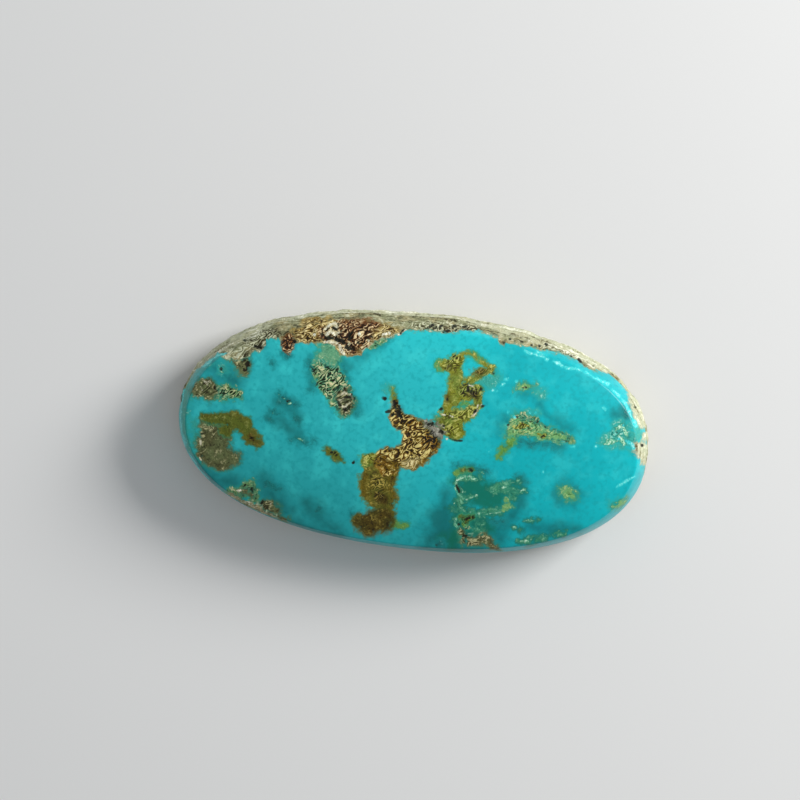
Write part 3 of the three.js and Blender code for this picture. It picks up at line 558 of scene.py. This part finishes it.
# where the rind meets the turquoise on the face, (x, y)
RIND_CONTACT = (
    (-15, 1.5), (-14.6, 1.9), (-14.2, 2.5), (-13.3, 3.4), (-12.9, 3.6), (-12.4, 3.4), (-11.6, 3.4),
    (-11, 3.5), (-10.75, 3.9), (-10.1, 4.2), (-10, 4.8), (-9.7, 5), (-9.1, 4.95), (-8, 5), (-7, 5.05),
    (-6, 5.05), (-5.2, 4.6), (-4.8, 4.35), (-4.1, 4.55), (-3.5, 5.1), (-2.8, 5.6), (-2, 5.8), (-1.2, 6.35),
    (0, 6.45), (1, 6.55), (2, 6.65), (2.6, 6.8), (3.3, 6.85), (4.3, 6.6), (4.7, 6.5), (4.8, 6.2), (5.1, 6),
    (5.3, 6.25), (6.5, 6.2), (7.3, 6.05), (8.2, 6), (8.8, 5.9), (9.5, 5.75), (9.9, 5.6), (10.2, 5.4),
    (10.4, 5.2), (11, 5.1), (11.5, 5.05), (12, 5.1), (12.4, 5.3), (15, 5),
)
# runs of rind, and of its chalky outside, that come up over the edge at the ends
RIND_AT_ENDS = (
    ((-11.2, -5.4, 0.2), (-10, -5.9, 0.2), (-8.4, -6.35, 0.2)),
)
CHALK_AT_ENDS = (
    ((12.8, 4.6, 0.08), (13.4, 4.1, 0.16), (13.9, 3.3, 0.36), (14.15, 2.6, 0.3), (14.5, 1.9, 0.16)),
    ((14.75, 1.2, 0.22),), ((14.2, 0.5, 0.3), (14.5, 0.4, 0.42), (14.8, 0, 0.38), (14.95, -0.5, 0.14)),
)
# how high each reaches up the side, (angle round the stone, height)
CHALK_UP_SIDE = (
    (-180, 0), (0, 0), (20, 2.7), (36, 2.7), (50, 3), (68, 3.1), (78, 2.3), (115, 2.2), (128, 2.4),
    (134, 3.4), (150, 3.4), (158, 4.2), (170, 4.2), (180, 0),
)
RIND_UP_SIDE = (
    (-180, 1.7), (-160, 0.9), (-130, 1.3), (-100, 0.6), (-70, 1.2), (-45, 0.7), (-20, 1.1), (0, 2.6),
    (25, 2.4), (40, 4.2), (170, 4.2), (180, 1.7),
)
RIND_SIDE_TOP = GIRDLE_HEIGHT + 0.6
RIND_SIDE_WAVES = 1.6
CHALK_SIDE_WAVES = 2.0
SIDE_WAVE_HEIGHT = 0.25
CONTACT_SLOPE = 0.85
FAR_OUTSIDE = -9.0
TINY = 1e-9
# how fast the finer lumps of a cloud fade, and how much finer each set is
CLOUD_FADE = 1.0
CLOUD_STEP = 2.0
# how far the edges stray, and the size of the lumps that they stray round
STRAY = ((0.16, 0.8), (0.08, 0.3))
CONTACT_STRAY = 0.6
SMALL_MARK_STRAY = 0.4
SMALL_MARKS = ("thread", "pit", "cream", "specks_and_painted_glints")
# how far down the bevel the patches and the small marks come before they fade
PATCH_FOOT = 2.7
SMALL_MARK_FOOT = 2.0
FOOT_WAVES = 1.2
FOOT_WAVE_HEIGHT = 0.6
FADE_BELOW_FOOT = 1.5
CLEAR_OF_CREAM = 0.1


def cloud(size, octaves=3, shift=0.0):
    """Soft random lumps of about that size, from -1 to 1, at every point of the surface."""
    places = points / size + shift
    return np.array([noise.fractal(place, CLOUD_FADE, CLOUD_STEP, octaves) for place in places.tolist()])


above_girdle = points[:, 2] - GIRDLE_HEIGHT
nearness = points[:, 1] * math.sin(LEAN) + above_girdle * math.cos(LEAN)
seen = np.column_stack((points[:, 0], points[:, 1] - above_girdle * math.tan(LEAN)))
seen *= (EYE_DISTANCE / (EYE_DISTANCE - nearness))[:, None]
ragged = []
for step_aside in (0, 31):
    ragged.append(sum(stray * cloud(size, shift=step_aside) for stray, size in STRAY))
ragged = np.column_stack(ragged)


def inside(runs, at):
    """How far inside the nearest run of dabs each point is, below zero outside."""
    depth = np.full(len(at), FAR_OUTSIDE)
    for run in runs:
        for (x0, y0, r0), (x1, y1, r1) in zip(run, run[1:] or run):
            span = np.array((x1 - x0, y1 - y0))
            offset = at - (x0, y0)
            part = np.clip(offset @ span / max(span @ span, TINY), 0, 1)
            away = np.linalg.norm(offset - part[:, None] * span, axis=1)
            depth = np.maximum(depth, r0 + (r1 - r0) * part - away)
    return depth


wavering = FOOT_WAVE_HEIGHT * cloud(FOOT_WAVES) - points[:, 2]
patch_fade = FADE_BELOW_FOOT * np.clip(PATCH_FOOT + wavering, 0, None)
small_mark_fade = FADE_BELOW_FOOT * np.clip(SMALL_MARK_FOOT + wavering, 0, None)
fields = {}
for name, runs in MINERALS.items():
    if name in SMALL_MARKS:
        fields[name] = inside(runs, seen + SMALL_MARK_STRAY * ragged) - small_mark_fade
    else:
        fields[name] = inside(runs, seen + ragged) - patch_fade
fields["dark_grain"] = np.minimum(fields["dark_grain"], -CLEAR_OF_CREAM - fields["cream"])

contact_x, contact_y = np.array(RIND_CONTACT).T
strayed = seen + CONTACT_STRAY * ragged
behind = (strayed[:, 1] - np.interp(strayed[:, 0], contact_x, contact_y)) * CONTACT_SLOPE
round_degrees = np.degrees(np.arctan2(np.sin(angles), np.cos(angles)))


def below_reach(reach, waves):
    """How far below a mineral's wavering reach up the side each point is."""
    at, height = np.array(reach).T
    return np.interp(round_degrees, at, height) + SIDE_WAVE_HEIGHT * cloud(waves) - points[:, 2]


rind_up_side = below_reach(RIND_UP_SIDE, RIND_SIDE_WAVES)
rind_up_side = np.where(points[:, 2] < RIND_SIDE_TOP, rind_up_side, FAR_OUTSIDE)
rind_at_ends = inside(RIND_AT_ENDS, seen + ragged) - patch_fade
fields["rind"] = np.maximum.reduce((behind, rind_at_ends, rind_up_side))
chalk_behind = np.minimum(behind, below_reach(CHALK_UP_SIDE, CHALK_SIDE_WAVES))
fields["chalk"] = np.maximum(chalk_behind, inside(CHALK_AT_ENDS, seen + ragged))

# Wear. The soft minerals are worn below the polish and keep their grain. The rind is left as it broke, with
# lumps, and with ledges where it parts in layers.
WORN = {
    # depth of the wear and height of the grain
    "sage": (0.02, 0.02),
    "tan": (0.03, 0.03),
    "olive": (0.02, 0.02),
    "ochre": (0.03, 0.03),
    "umber": (0.03, 0.02),
    "gold": (0.05, 0.05),
    "ash": (0.0, 0.03),
    "buff": (0.03, 0.05),
    "rust": (0.04, 0.06),
    "rind": (0.04, 0.04),
    "pit": (0.08, 0.0),
}
WORN_EDGE = 0.5
GRAIN_SIZE = 0.3
RIND_EDGE = 0.5
RIND_LUMP_HEIGHT = 0.07
RIND_LUMP_SIZE = 1.4
RIND_LEDGE_HEIGHT = 0.04
RIND_LEDGE_SPACING = 0.9
RIND_LEDGE_DRIFT = 6
RIND_LUMPS_FADE_FROM = 3.0
POLISH_WAVES = 3.5
POLISH_WAVE_HEIGHT = 0.012


def eased(value, low, high):
    """0 below low, 1 above high, and smooth between."""
    part = np.clip((value - low) / (high - low), 0, 1)
    return part * part * (3 - 2 * part)


fine_grain = cloud(GRAIN_SIZE, 2)
relief = POLISH_WAVE_HEIGHT * cloud(POLISH_WAVES, 2)
for name, (depth, grain_height) in WORN.items():
    relief += eased(fields[name], -WORN_EDGE / 2, WORN_EDGE / 2) * (grain_height * fine_grain - depth)
drift = cloud(RIND_LEDGE_DRIFT, 1)
ledge = np.sin(2 * math.pi * (points[:, 2] / RIND_LEDGE_SPACING + drift))
below_face = 1 - eased(points[:, 2], RIND_LUMPS_FADE_FROM, FACE_EDGE_HEIGHT)
on_side = eased(points[:, 2], 0, CHAMFER_HEIGHT) * below_face
lumps = RIND_LUMP_HEIGHT * cloud(RIND_LUMP_SIZE) + RIND_LEDGE_HEIGHT * ledge
relief += eased(fields["rind"], 0, RIND_EDGE) * on_side * lumps
relief *= 1 - underside
worn = points + normals * relief[:, None]
worn = np.clip(worn, np.array(stone_low) / MM, np.array(stone_high) / MM)
stone_mesh.vertices.foreach_set("co", (worn * MM).astype(np.float32).ravel())
for name, depths in fields.items():
    attribute = stone_mesh.attributes.new(name, "FLOAT", "POINT")
    attribute.data.foreach_set("value", depths.astype(np.float32))
stone_mesh.polygons.foreach_set("use_smooth", np.ones(len(stone_mesh.polygons), bool))
stone_mesh.update()
stone = bpy.data.objects.new("turquoise_stone_polished", stone_mesh)
bpy.context.scene.collection.objects.link(stone)
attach(stone, "root")
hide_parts("turquoise_stone")


# The finish. The turquoise takes a waxy polish, and each mineral has its own colour and grit. Two effects
# come again and again: the ragged edge of a mineral, and the grit of dark and light grains in it.
def put(tree, kind, inputs=None, **settings):
    """A new node with these settings, whose inputs are plain values or other nodes' outputs."""
    made = tree.nodes.new(kind)
    for name, value in settings.items():
        setattr(made, name, value)
    for name, value in (inputs or {}).items():
        if isinstance(value, bpy.types.NodeSocket):
            tree.links.new(value, made.inputs[name])
        else:
            made.inputs[name].default_value = value
    return made


def calc(tree, operation, first, second=0.0, third=0.0):
    """One step of arithmetic on values."""
    return put(tree, "ShaderNodeMath", {0: first, 1: second, 2: third}, operation=operation).outputs[0]


def tint(tree, share, under, over):
    """One colour laid over another."""
    return put(tree, "ShaderNodeMix", {0: share, 6: under, 7: over}, data_type="RGBA").outputs[2]


def ramp(tree, value, low, high):
    """0 below low, 1 above high, and smooth between."""
    limits = {0: value, 1: low, 2: high}
    return put(tree, "ShaderNodeMapRange", limits, interpolation_type="SMOOTHSTEP").outputs[0]


VALUE = "NodeSocketFloat"
COLOUR = "NodeSocketColor"


def new_effect(name, takes, gives):
    """An empty node group with named inputs and outputs, each of its kind."""
    tree = bpy.data.node_groups.new(name, "ShaderNodeTree")
    for label, kind in takes.items():
        tree.interface.new_socket(label, in_out="INPUT", socket_type=kind)
    for label, kind in gives.items():
        tree.interface.new_socket(label, in_out="OUTPUT", socket_type=kind)
    return tree, tree.nodes.new("NodeGroupInput").outputs, tree.nodes.new("NodeGroupOutput").inputs


STAIN_STRENGTH = 0.8
mineral_edge, takes, gives = new_effect(
    "mineral_edge",
    {"Depth": VALUE, "Wander": VALUE, "Ragged": VALUE, "Softness": VALUE, "Rim": VALUE},
    {"Mask": VALUE, "Stain": VALUE},
)
wander = calc(mineral_edge, "SUBTRACT", takes["Wander"], 0.5)
wander = calc(mineral_edge, "MULTIPLY", wander, takes["Ragged"])
reach = calc(mineral_edge, "MULTIPLY_ADD", wander, 2.0, takes["Depth"])
half_soft = calc(mineral_edge, "MULTIPLY", takes["Softness"], 0.5)
soft_start = calc(mineral_edge, "MULTIPLY", half_soft, -1.0)
mineral_edge.links.new(ramp(mineral_edge, reach, soft_start, half_soft), gives["Mask"])
rim_start = calc(mineral_edge, "SUBTRACT", soft_start, takes["Rim"])
stain = calc(mineral_edge, "MULTIPLY", ramp(mineral_edge, reach, rim_start, 0.0), STAIN_STRENGTH)
mineral_edge.links.new(stain, gives["Stain"])

GRAIN_BLEND = 0.2
grit, takes, gives = new_effect(
    "grit",
    {
        "Tone": VALUE, "Clumps": VALUE, "Body": COLOUR, "Blush": COLOUR, "Dark": COLOUR, "Light": COLOUR,
        "Dark Share": VALUE, "Light Share": VALUE,
    },
    {"Colour": COLOUR},
)
body = tint(grit, ramp(grit, takes["Clumps"], 0.35, 0.75), takes["Body"], takes["Blush"])
dark_from = calc(grit, "SUBTRACT", takes["Dark Share"], GRAIN_BLEND)
dark_to = calc(grit, "ADD", takes["Dark Share"], GRAIN_BLEND)
body = tint(grit, ramp(grit, takes["Tone"], dark_from, dark_to), takes["Dark"], body)
light_middle = calc(grit, "SUBTRACT", 1.0, takes["Light Share"])
light_from = calc(grit, "SUBTRACT", light_middle, GRAIN_BLEND)
light_to = calc(grit, "ADD", light_middle, GRAIN_BLEND)
body = tint(grit, ramp(grit, takes["Tone"], light_from, light_to), body, takes["Light"])
grit.links.new(body, gives["Colour"])


def rgb(*screen):
    """A colour as it looks on a screen, 0 to 255, turned to linear light."""
    linear = [((c / 255 + 0.055) / 1.055) ** 2.4 if c > 10 else c / 255 / 12.92 for c in screen]
    return (*linear, 1.0)


finish = bpy.data.materials.new("polished_turquoise")
finish.use_nodes = True
tree = finish.node_tree
tree.nodes.clear()
place = put(tree, "ShaderNodeTexCoord").outputs["Object"]


def field(name):
    """How far inside that mineral the surface is, in millimetres."""
    return put(tree, "ShaderNodeAttribute", attribute_name=name).outputs["Fac"]


def texture(size, detail=2.0, roughness=0.5, twist=0.0, at=None):
    """Soft random lumps of about that size in millimetres, from 0 to 1."""
    inputs = {"Scale": 1 / (size * MM), "Detail": detail, "Roughness": roughness, "Distortion": twist}
    return put(tree, "ShaderNodeTexNoise", {"Vector": at or place, **inputs}).outputs[0]


def centred(value):
    """A value from 0 to 1 as its distance from the middle."""
    return calc(tree, "SUBTRACT", value, 0.5)


def stretched(value, contrast):
    """The same value with more contrast about its middle."""
    return calc(tree, "MULTIPLY_ADD", centred(value), contrast, 0.5)


def veil(under, mask, strength, over):
    """A thin layer of another colour where the mask is."""
    return tint(tree, calc(tree, "MULTIPLY", mask, strength), under, rgb(*over))


# the turquoise itself: clear blue-green, milkier at one end and deeper towards the front
DEEP_TURQUOISE = rgb(8, 170, 177)
CLEAR_TURQUOISE = rgb(12, 184, 190)
MILKY_TURQUOISE = (48, 180, 182)
BRIGHT_TURQUOISE = (50, 204, 208)
PALE_CLOUD = (56, 202, 202)
FINE_SHADE = (10, 148, 152)
FRONT_SHADE = (14, 126, 126)
MILKY_REACH = 6 * MM
BRIGHT_REACH = 7 * MM
DEEPER_ALONG = -20.0
DEEPER_FORWARDS = -75.0
mottle = texture(1.1, 3.0)
fine_mottle = texture(0.3, 3.0)
along = put(tree, "ShaderNodeSeparateXYZ", {0: place})
milky = ramp(tree, along.outputs[0], MILKY_REACH, -MILKY_REACH)
bright = ramp(tree, calc(tree, "ABSOLUTE", along.outputs[0]), BRIGHT_REACH, 0.0)
clouding = calc(tree, "MULTIPLY_ADD", milky, 0.5, 0.35)
forwards = calc(tree, "MULTIPLY", along.outputs[1], DEEPER_FORWARDS)
deep_end = calc(tree, "MULTIPLY_ADD", along.outputs[0], DEEPER_ALONG, forwards)
colour = tint(tree, ramp(tree, texture(4.0), 0.35, 0.7), DEEP_TURQUOISE, CLEAR_TURQUOISE)
colour = veil(colour, milky, 0.75, MILKY_TURQUOISE)
colour = veil(colour, bright, 0.35, BRIGHT_TURQUOISE)
colour = veil(colour, ramp(tree, mottle, 0.45, 0.7), clouding, PALE_CLOUD)
colour = veil(colour, ramp(tree, fine_mottle, 0.45, 0.7), 0.4, FINE_SHADE)
colour = veil(colour, ramp(tree, deep_end, 0.0, 0.7), 0.45, FRONT_SHADE)

# green altered zones in it, darker than the turquoise, and painted shade along the front edge
HALO_AND_EDGE_SHADE_TEAL = (8, 100, 98)
WINDOW_GREEN = (8, 112, 88)
crumb = stretched(texture(0.45, 4.0, 0.68, twist=0.4), 2.2)
blotches = stretched(mottle, 1.6)
halo_and_edge_shade = ramp(tree, calc(tree, "MULTIPLY_ADD", blotches, 0.8, field("halo_and_edge_shade")), -0.1, 1.1)
colour = veil(colour, halo_and_edge_shade, 0.8, HALO_AND_EDGE_SHADE_TEAL)
window_reach = calc(tree, "MULTIPLY_ADD", blotches, 0.7, field("window"))
window = ramp(tree, calc(tree, "MULTIPLY_ADD", crumb, 0.3, window_reach), 0.1, 1.0)
colour = veil(colour, window, 0.92, WINDOW_GREEN)

# the grain that the minerals share: crumbs, fine specks and curled strokes, coarse in some places
STROKE_SLANT = math.radians(40)
STROKE_STRETCH = (1.5, 0.85, 1)
STROKE_ROWS = 9.0
STROKE_CURL = 27.0
SPECK_SHARE = 0.25
PALE_LIFT = 0.18
DARK_DROP = 0.24
specks = stretched(texture(0.13, 2.0), 2.2)
clumps = stretched(texture(0.9, 2.0), 1.6)
drawn = {"Vector": place, "Rotation": (0, 0, STROKE_SLANT), "Scale": STROKE_STRETCH}
drawn_out = put(tree, "ShaderNodeMapping", drawn, vector_type="TEXTURE").outputs[0]
stroke_lumps = texture(0.4, 1.0, 0.4, twist=0.7, at=drawn_out)
across = put(tree, "ShaderNodeSeparateXYZ", {0: drawn_out}).outputs[1]
stroke_rows = calc(tree, "MULTIPLY", across, STROKE_ROWS / MM)
strokes = calc(tree, "SINE", calc(tree, "MULTIPLY_ADD", stroke_lumps, STROKE_CURL, stroke_rows))
crumb_step = centred(crumb)


def zone(name, crumbling, low, high):
    """Where the grain is of that kind, with a crumbling edge."""
    return ramp(tree, calc(tree, "MULTIPLY_ADD", crumb_step, crumbling, field(name)), low, high)


dark_zone = zone("dark_grain", 0.3, -0.15, 0.15)
pale_zone = zone("pale_grain", 0.3, -0.15, 0.15)
toned = calc(tree, "MAXIMUM", dark_zone, pale_zone)
coarse = calc(tree, "MAXIMUM", zone("grain", 0.5, -0.3, 0.35), toned)
stroke_share = calc(tree, "MULTIPLY_ADD", coarse, 0.3, 0.07)
crumb_share = calc(tree, "MULTIPLY_ADD", coarse, -0.28, 0.66)
tone = calc(tree, "MULTIPLY_ADD", strokes, stroke_share, 0.5)
tone = calc(tree, "MULTIPLY_ADD", crumb_step, crumb_share, tone)
tone = calc(tree, "MULTIPLY_ADD", centred(specks), SPECK_SHARE, tone)
tone = calc(tree, "MULTIPLY_ADD", pale_zone, PALE_LIFT, tone)
tone = calc(tree, "MULTIPLY_ADD", dark_zone, -DARK_DROP, tone)

# the grain of the rind, which lies in layers
LAYER_STRETCH = (0.15, 0.15, 1.6)
LAYER_SHARE = 0.6
flattened = put(tree, "ShaderNodeVectorMath", {0: place, 1: LAYER_STRETCH}, operation="MULTIPLY")
layers = stretched(texture(0.35, 3.0, at=flattened.outputs[0]), 2.4)
layered = calc(tree, "MULTIPLY_ADD", centred(layers), LAYER_SHARE, tone)

# each mineral's colours, grain and edge, in the order that they lie over each other
MINERAL_LOOKS = {
    "smoke": dict(
        body=(20, 122, 118), blush=(18, 110, 108), rim=(24, 140, 140), roughness=0.35,
        grain=tone, dark=(12, 66, 60), light=(64, 152, 146), shares=(0.34, 0.2),
        ragged=0.25, softness=0.4, rim_width=0.25,
    ),
    # pale haze, and the painted sheen along the left edge of the bevel
    "mist_and_edge_sheen": dict(
        body=(58, 166, 148), blush=(52, 160, 146), rim=(40, 166, 158), roughness=0.35,
        grain=tone, dark=(24, 110, 100), light=(170, 224, 204), shares=(0.3, 0.17),
        ragged=0.3, softness=0.4, rim_width=0.25,
    ),
    "frost": dict(
        body=(52, 138, 108), blush=(62, 142, 104), rim=(18, 112, 92), roughness=0.4,
        grain=tone, dark=(20, 102, 82), light=(120, 188, 150), shares=(0.3, 0.3),
        ragged=0.2, softness=0.24, rim_width=0.16,
    ),
    "thread": dict(
        body=(120, 192, 156), blush=(132, 200, 158), rim=(40, 134, 106), roughness=0.4,
        grain=specks, dark=(64, 146, 114), light=(200, 236, 208), shares=(0.3, 0.36),
        ragged=0.08, softness=0.08, rim_width=0.03,
    ),
    "sage": dict(
        body=(86, 149, 107), blush=(112, 153, 94), rim=(40, 150, 128), roughness=0.45,
        grain=tone, dark=(18, 20, 8), light=(216, 210, 160), shares=(0.34, 0.27),
        ragged=0.22, softness=0.2, rim_width=0.14,
    ),
    "celadon": dict(
        body=(98, 159, 118), blush=(90, 154, 118), rim=(38, 152, 134), roughness=0.45,
        grain=tone, dark=(46, 104, 78), light=(164, 192, 148), shares=(0.26, 0.28),
        ragged=0.28, softness=0.3, rim_width=0.2,
    ),
    "lime": dict(
        body=(110, 166, 100), blush=(100, 162, 108), rim=(28, 136, 114), roughness=0.45,
        grain=tone, dark=(48, 92, 46), light=(180, 198, 130), shares=(0.22, 0.26),
        ragged=0.2, softness=0.18, rim_width=0.14,
    ),
    "tan": dict(
        body=(98, 107, 66), blush=(90, 91, 54), rim=(52, 128, 102), roughness=0.6,
        grain=tone, dark=(44, 40, 20), light=(178, 174, 128), shares=(0.29, 0.25),
        ragged=0.2, softness=0.26, rim_width=0.2,
    ),
    "leaf": dict(
        body=(92, 144, 58), blush=(98, 152, 76), rim=(36, 150, 118), roughness=0.45,
        grain=tone, dark=(66, 108, 34), light=(136, 170, 80), shares=(0.25, 0.25),
        ragged=0.16, softness=0.2, rim_width=0.12,
    ),
    "moss": dict(
        body=(90, 102, 30), blush=(98, 98, 28), rim=(52, 124, 84), roughness=0.5,
        grain=tone, dark=(52, 48, 8), light=(134, 140, 68), shares=(0.26, 0.24),
        ragged=0.18, softness=0.2, rim_width=0.14,
    ),
    "olive": dict(
        body=(124, 128, 30), blush=(112, 130, 48), rim=(64, 146, 98), roughness=0.45,
        grain=tone, dark=(56, 46, 8), light=(188, 186, 98), shares=(0.3, 0.27),
        ragged=0.18, softness=0.18, rim_width=0.12,
    ),
    "ochre": dict(
        body=(110, 94, 18), blush=(96, 94, 28), rim=(90, 118, 48), roughness=0.5,
        grain=tone, dark=(48, 36, 4), light=(180, 158, 74), shares=(0.34, 0.25),
        ragged=0.18, softness=0.18, rim_width=0.12,
    ),
    "umber": dict(
        body=(80, 66, 12), blush=(68, 64, 16), rim=(90, 94, 28), roughness=0.5,
        grain=tone, dark=(38, 27, 2), light=(138, 122, 52), shares=(0.33, 0.27),
        ragged=0.18, softness=0.3, rim_width=0.2,
    ),
    "gold": dict(
        body=(122, 97, 16), blush=(132, 95, 16), rim=(116, 108, 30), roughness=0.55,
        grain=tone, dark=(34, 21, 2), light=(228, 210, 132), shares=(0.37, 0.24),
        ragged=0.16, softness=0.16, rim_width=0.1,
    ),
    "ash": dict(
        body=(130, 128, 112), blush=(140, 136, 122), rim=(104, 112, 80), roughness=0.6,
        grain=tone, dark=(38, 38, 30), light=(184, 184, 168), shares=(0.32, 0.26),
        ragged=0.2, softness=0.2, rim_width=0.1,
    ),
    "rind": dict(
        body=(136, 139, 103), blush=(158, 149, 108), rim=(92, 146, 120), roughness=0.75,
        grain=layered, dark=(54, 48, 26), light=(202, 204, 172), shares=(0.32, 0.28),
        ragged=0.16, softness=0.14, rim_width=0.08,
    ),
    "chalk": dict(
        body=(183, 186, 154), blush=(178, 177, 142), rim=(162, 164, 134), roughness=0.8,
        grain=layered, dark=(94, 88, 58), light=(230, 230, 208), shares=(0.24, 0.28),
        ragged=0.16, softness=0.2, rim_width=0.1,
    ),
    "buff": dict(
        body=(156, 130, 62), blush=(166, 144, 82), rim=(140, 128, 76), roughness=0.75,
        grain=tone, dark=(60, 38, 8), light=(222, 206, 150), shares=(0.38, 0.25),
        ragged=0.2, softness=0.2, rim_width=0.1,
    ),
    "rust": dict(
        body=(104, 62, 20), blush=(124, 76, 28), rim=(118, 88, 42), roughness=0.75,
        grain=tone, dark=(28, 12, 3), light=(222, 202, 154), shares=(0.4, 0.26),
        ragged=0.2, softness=0.2, rim_width=0.1,
    ),
    "cream": dict(
        body=(220, 214, 182), blush=(228, 222, 196), rim=(150, 150, 110), roughness=0.7,
        grain=specks, dark=(170, 158, 112), light=(246, 244, 228), shares=(0.3, 0.3),
        ragged=0.06, softness=0.08, rim_width=0.02,
    ),
    "pit": dict(
        body=(24, 20, 10), blush=(20, 22, 12), rim=(40, 60, 44), roughness=0.7,
        grain=specks, dark=(12, 10, 5), light=(48, 42, 24), shares=(0.3, 0.2),
        ragged=0.06, softness=0.08, rim_width=0.02,
    ),
    # pale specks, and painted highlight streaks on the bevel
    "specks_and_painted_glints": dict(
        body=(90, 218, 212), blush=(80, 214, 210), rim=(40, 194, 196), roughness=0.3,
        grain=specks, dark=(50, 200, 200), light=(168, 242, 236), shares=(0.3, 0.3),
        ragged=0.1, softness=0.12, rim_width=0.05,
    ),
}
TURQUOISE_ROUGHNESS = 0.32
FLECK_STRENGTH = 0.8
FLECK_BLACK = (26, 20, 8)
BUMP_HEIGHT = 0.05 * MM
BUMP_STRENGTH = 0.7
roughness = TURQUOISE_ROUGHNESS
height = 0.5
for name, look in MINERAL_LOOKS.items():
    edge_shape = {"Ragged": look["ragged"], "Softness": look["softness"], "Rim": look["rim_width"]}
    edge_inputs = {"Depth": field(name), "Wander": crumb, **edge_shape}
    edge = put(tree, "ShaderNodeGroup", edge_inputs, node_tree=mineral_edge)
    dark_share, light_share = look["shares"]
    shares = {"Dark Share": dark_share, "Light Share": light_share}
    colours = {label: rgb(*look[label.lower()]) for label in ("Body", "Blush", "Dark", "Light")}
    grain_inputs = {"Tone": look["grain"], "Clumps": clumps, **shares, **colours}
    grains = put(tree, "ShaderNodeGroup", grain_inputs, node_tree=grit)
    mask = edge.outputs["Mask"]
    colour = tint(tree, edge.outputs["Stain"], colour, rgb(*look["rim"]))
    colour = tint(tree, mask, colour, grains.outputs["Colour"])
    roughness = put(tree, "ShaderNodeMix", {0: mask, 2: roughness, 3: look["roughness"]}).outputs[0]
    if name not in SMALL_MARKS:
        height = put(tree, "ShaderNodeMix", {0: mask, 2: height, 3: look["grain"]}).outputs[0]
fleck_share = calc(tree, "MULTIPLY", dark_zone, FLECK_STRENGTH)
colour = veil(colour, ramp(tree, tone, 0.45, 0.25), fleck_share, FLECK_BLACK)
bump = put(tree, "ShaderNodeBump", {"Height": height, "Distance": BUMP_HEIGHT, "Strength": BUMP_STRENGTH})
varied = {"Base Color": colour, "Roughness": roughness, "Normal": bump.outputs[0]}
surface = put(tree, "ShaderNodeBsdfPrincipled", {**varied, "IOR": 1.5, "Specular IOR Level": 0.22})
tree.links.new(surface.outputs[0], tree.nodes.new("ShaderNodeOutputMaterial").inputs[0])
stone_mesh.materials.append(finish)

# The floor. A plain pale board, matt and wide enough to fill the picture, that the stone lies on. It isn't
# part of the stone, and its size is in metres.
FLOOR_REACH = 0.6
FLOOR_CORNERS = ((-1, -1), (1, -1), (1, 1), (-1, 1))
floor_mesh = bpy.data.meshes.new("floor")
floor_points = [(x * FLOOR_REACH, y * FLOOR_REACH, 0) for x, y in FLOOR_CORNERS]
floor_mesh.from_pydata(floor_points, [], [(0, 1, 2, 3)])
floor = bpy.data.objects.new("floor", floor_mesh)
bpy.context.scene.collection.objects.link(floor)
board = bpy.data.materials.new("pale_board")
board.use_nodes = True
board_surface = board.node_tree.nodes["Principled BSDF"]
board_surface.inputs["Base Color"].default_value = (0.78, 0.77, 0.75, 1)
board_surface.inputs["Roughness"].default_value = 0.7
floor_mesh.materials.append(board)

# The light. One large soft lamp stands behind the stone and to its right, and an even pale room lights it
# from all round. Places and sizes are in metres.
LAMP_PLACE = Vector((0.19, 0.13, 0.125))
LAMP_SIZE = 0.12
LAMP_POWER = 0.8
room = bpy.data.worlds.new("room")
room.use_nodes = True
room_light = room.node_tree.nodes["Background"]
room_light.inputs["Color"].default_value = (0.9, 0.95, 1, 1)
room_light.inputs["Strength"].default_value = 0.4
bpy.context.scene.world = room
lamp = bpy.data.lights.new("window_lamp", "AREA")
lamp.size = LAMP_SIZE
lamp.energy = LAMP_POWER
window_lamp = bpy.data.objects.new("window_lamp", lamp)
window_lamp.location = LAMP_PLACE
window_lamp.rotation_euler = (-LAMP_PLACE).to_track_quat("-Z", "Y").to_euler()
bpy.context.scene.collection.objects.link(window_lamp)
bpy.context.scene.view_settings.view_transform = "Standard"

# The camera. It looks down on the face, leaning a little over the back, with the oval turned in the
# picture. Places in the picture are in pixels, and a pixel's size at the girdle is in millimetres.
PICTURE_WIDTH = 800
STONE_AT_PIXEL = (413.9, 430.7)
PIXEL_SIZE = 0.0638
TURN = math.radians(-6)
NEAREST_SEEN = 0.01
tilted_right = Vector((1, 0, 0))
tilted_up = Vector((0, math.cos(LEAN), -math.sin(LEAN)))
towards_camera = Vector((0, math.sin(LEAN), math.cos(LEAN)))
right = tilted_right * math.cos(TURN) - tilted_up * math.sin(TURN)
up = tilted_right * math.sin(TURN) + tilted_up * math.cos(TURN)
girdle_middle = Vector((stone_middle.x, stone_middle.y, GIRDLE_HEIGHT))
aside = (PICTURE_WIDTH / 2 - STONE_AT_PIXEL[0]) * PIXEL_SIZE
above = (STONE_AT_PIXEL[1] - PICTURE_WIDTH / 2) * PIXEL_SIZE
stand = girdle_middle + right * aside + up * above + towards_camera * EYE_DISTANCE
camera_data = bpy.data.cameras.new("camera")
camera_data.lens = camera_data.sensor_width * EYE_DISTANCE / (PICTURE_WIDTH * PIXEL_SIZE)
camera_data.clip_start = NEAREST_SEEN
camera = bpy.data.objects.new("camera", camera_data)
facing = Matrix((right, up, towards_camera)).transposed().to_4x4()
camera.matrix_world = Matrix.Translation(stand * MM) @ facing
bpy.context.scene.collection.objects.link(camera)
bpy.context.scene.camera = camera
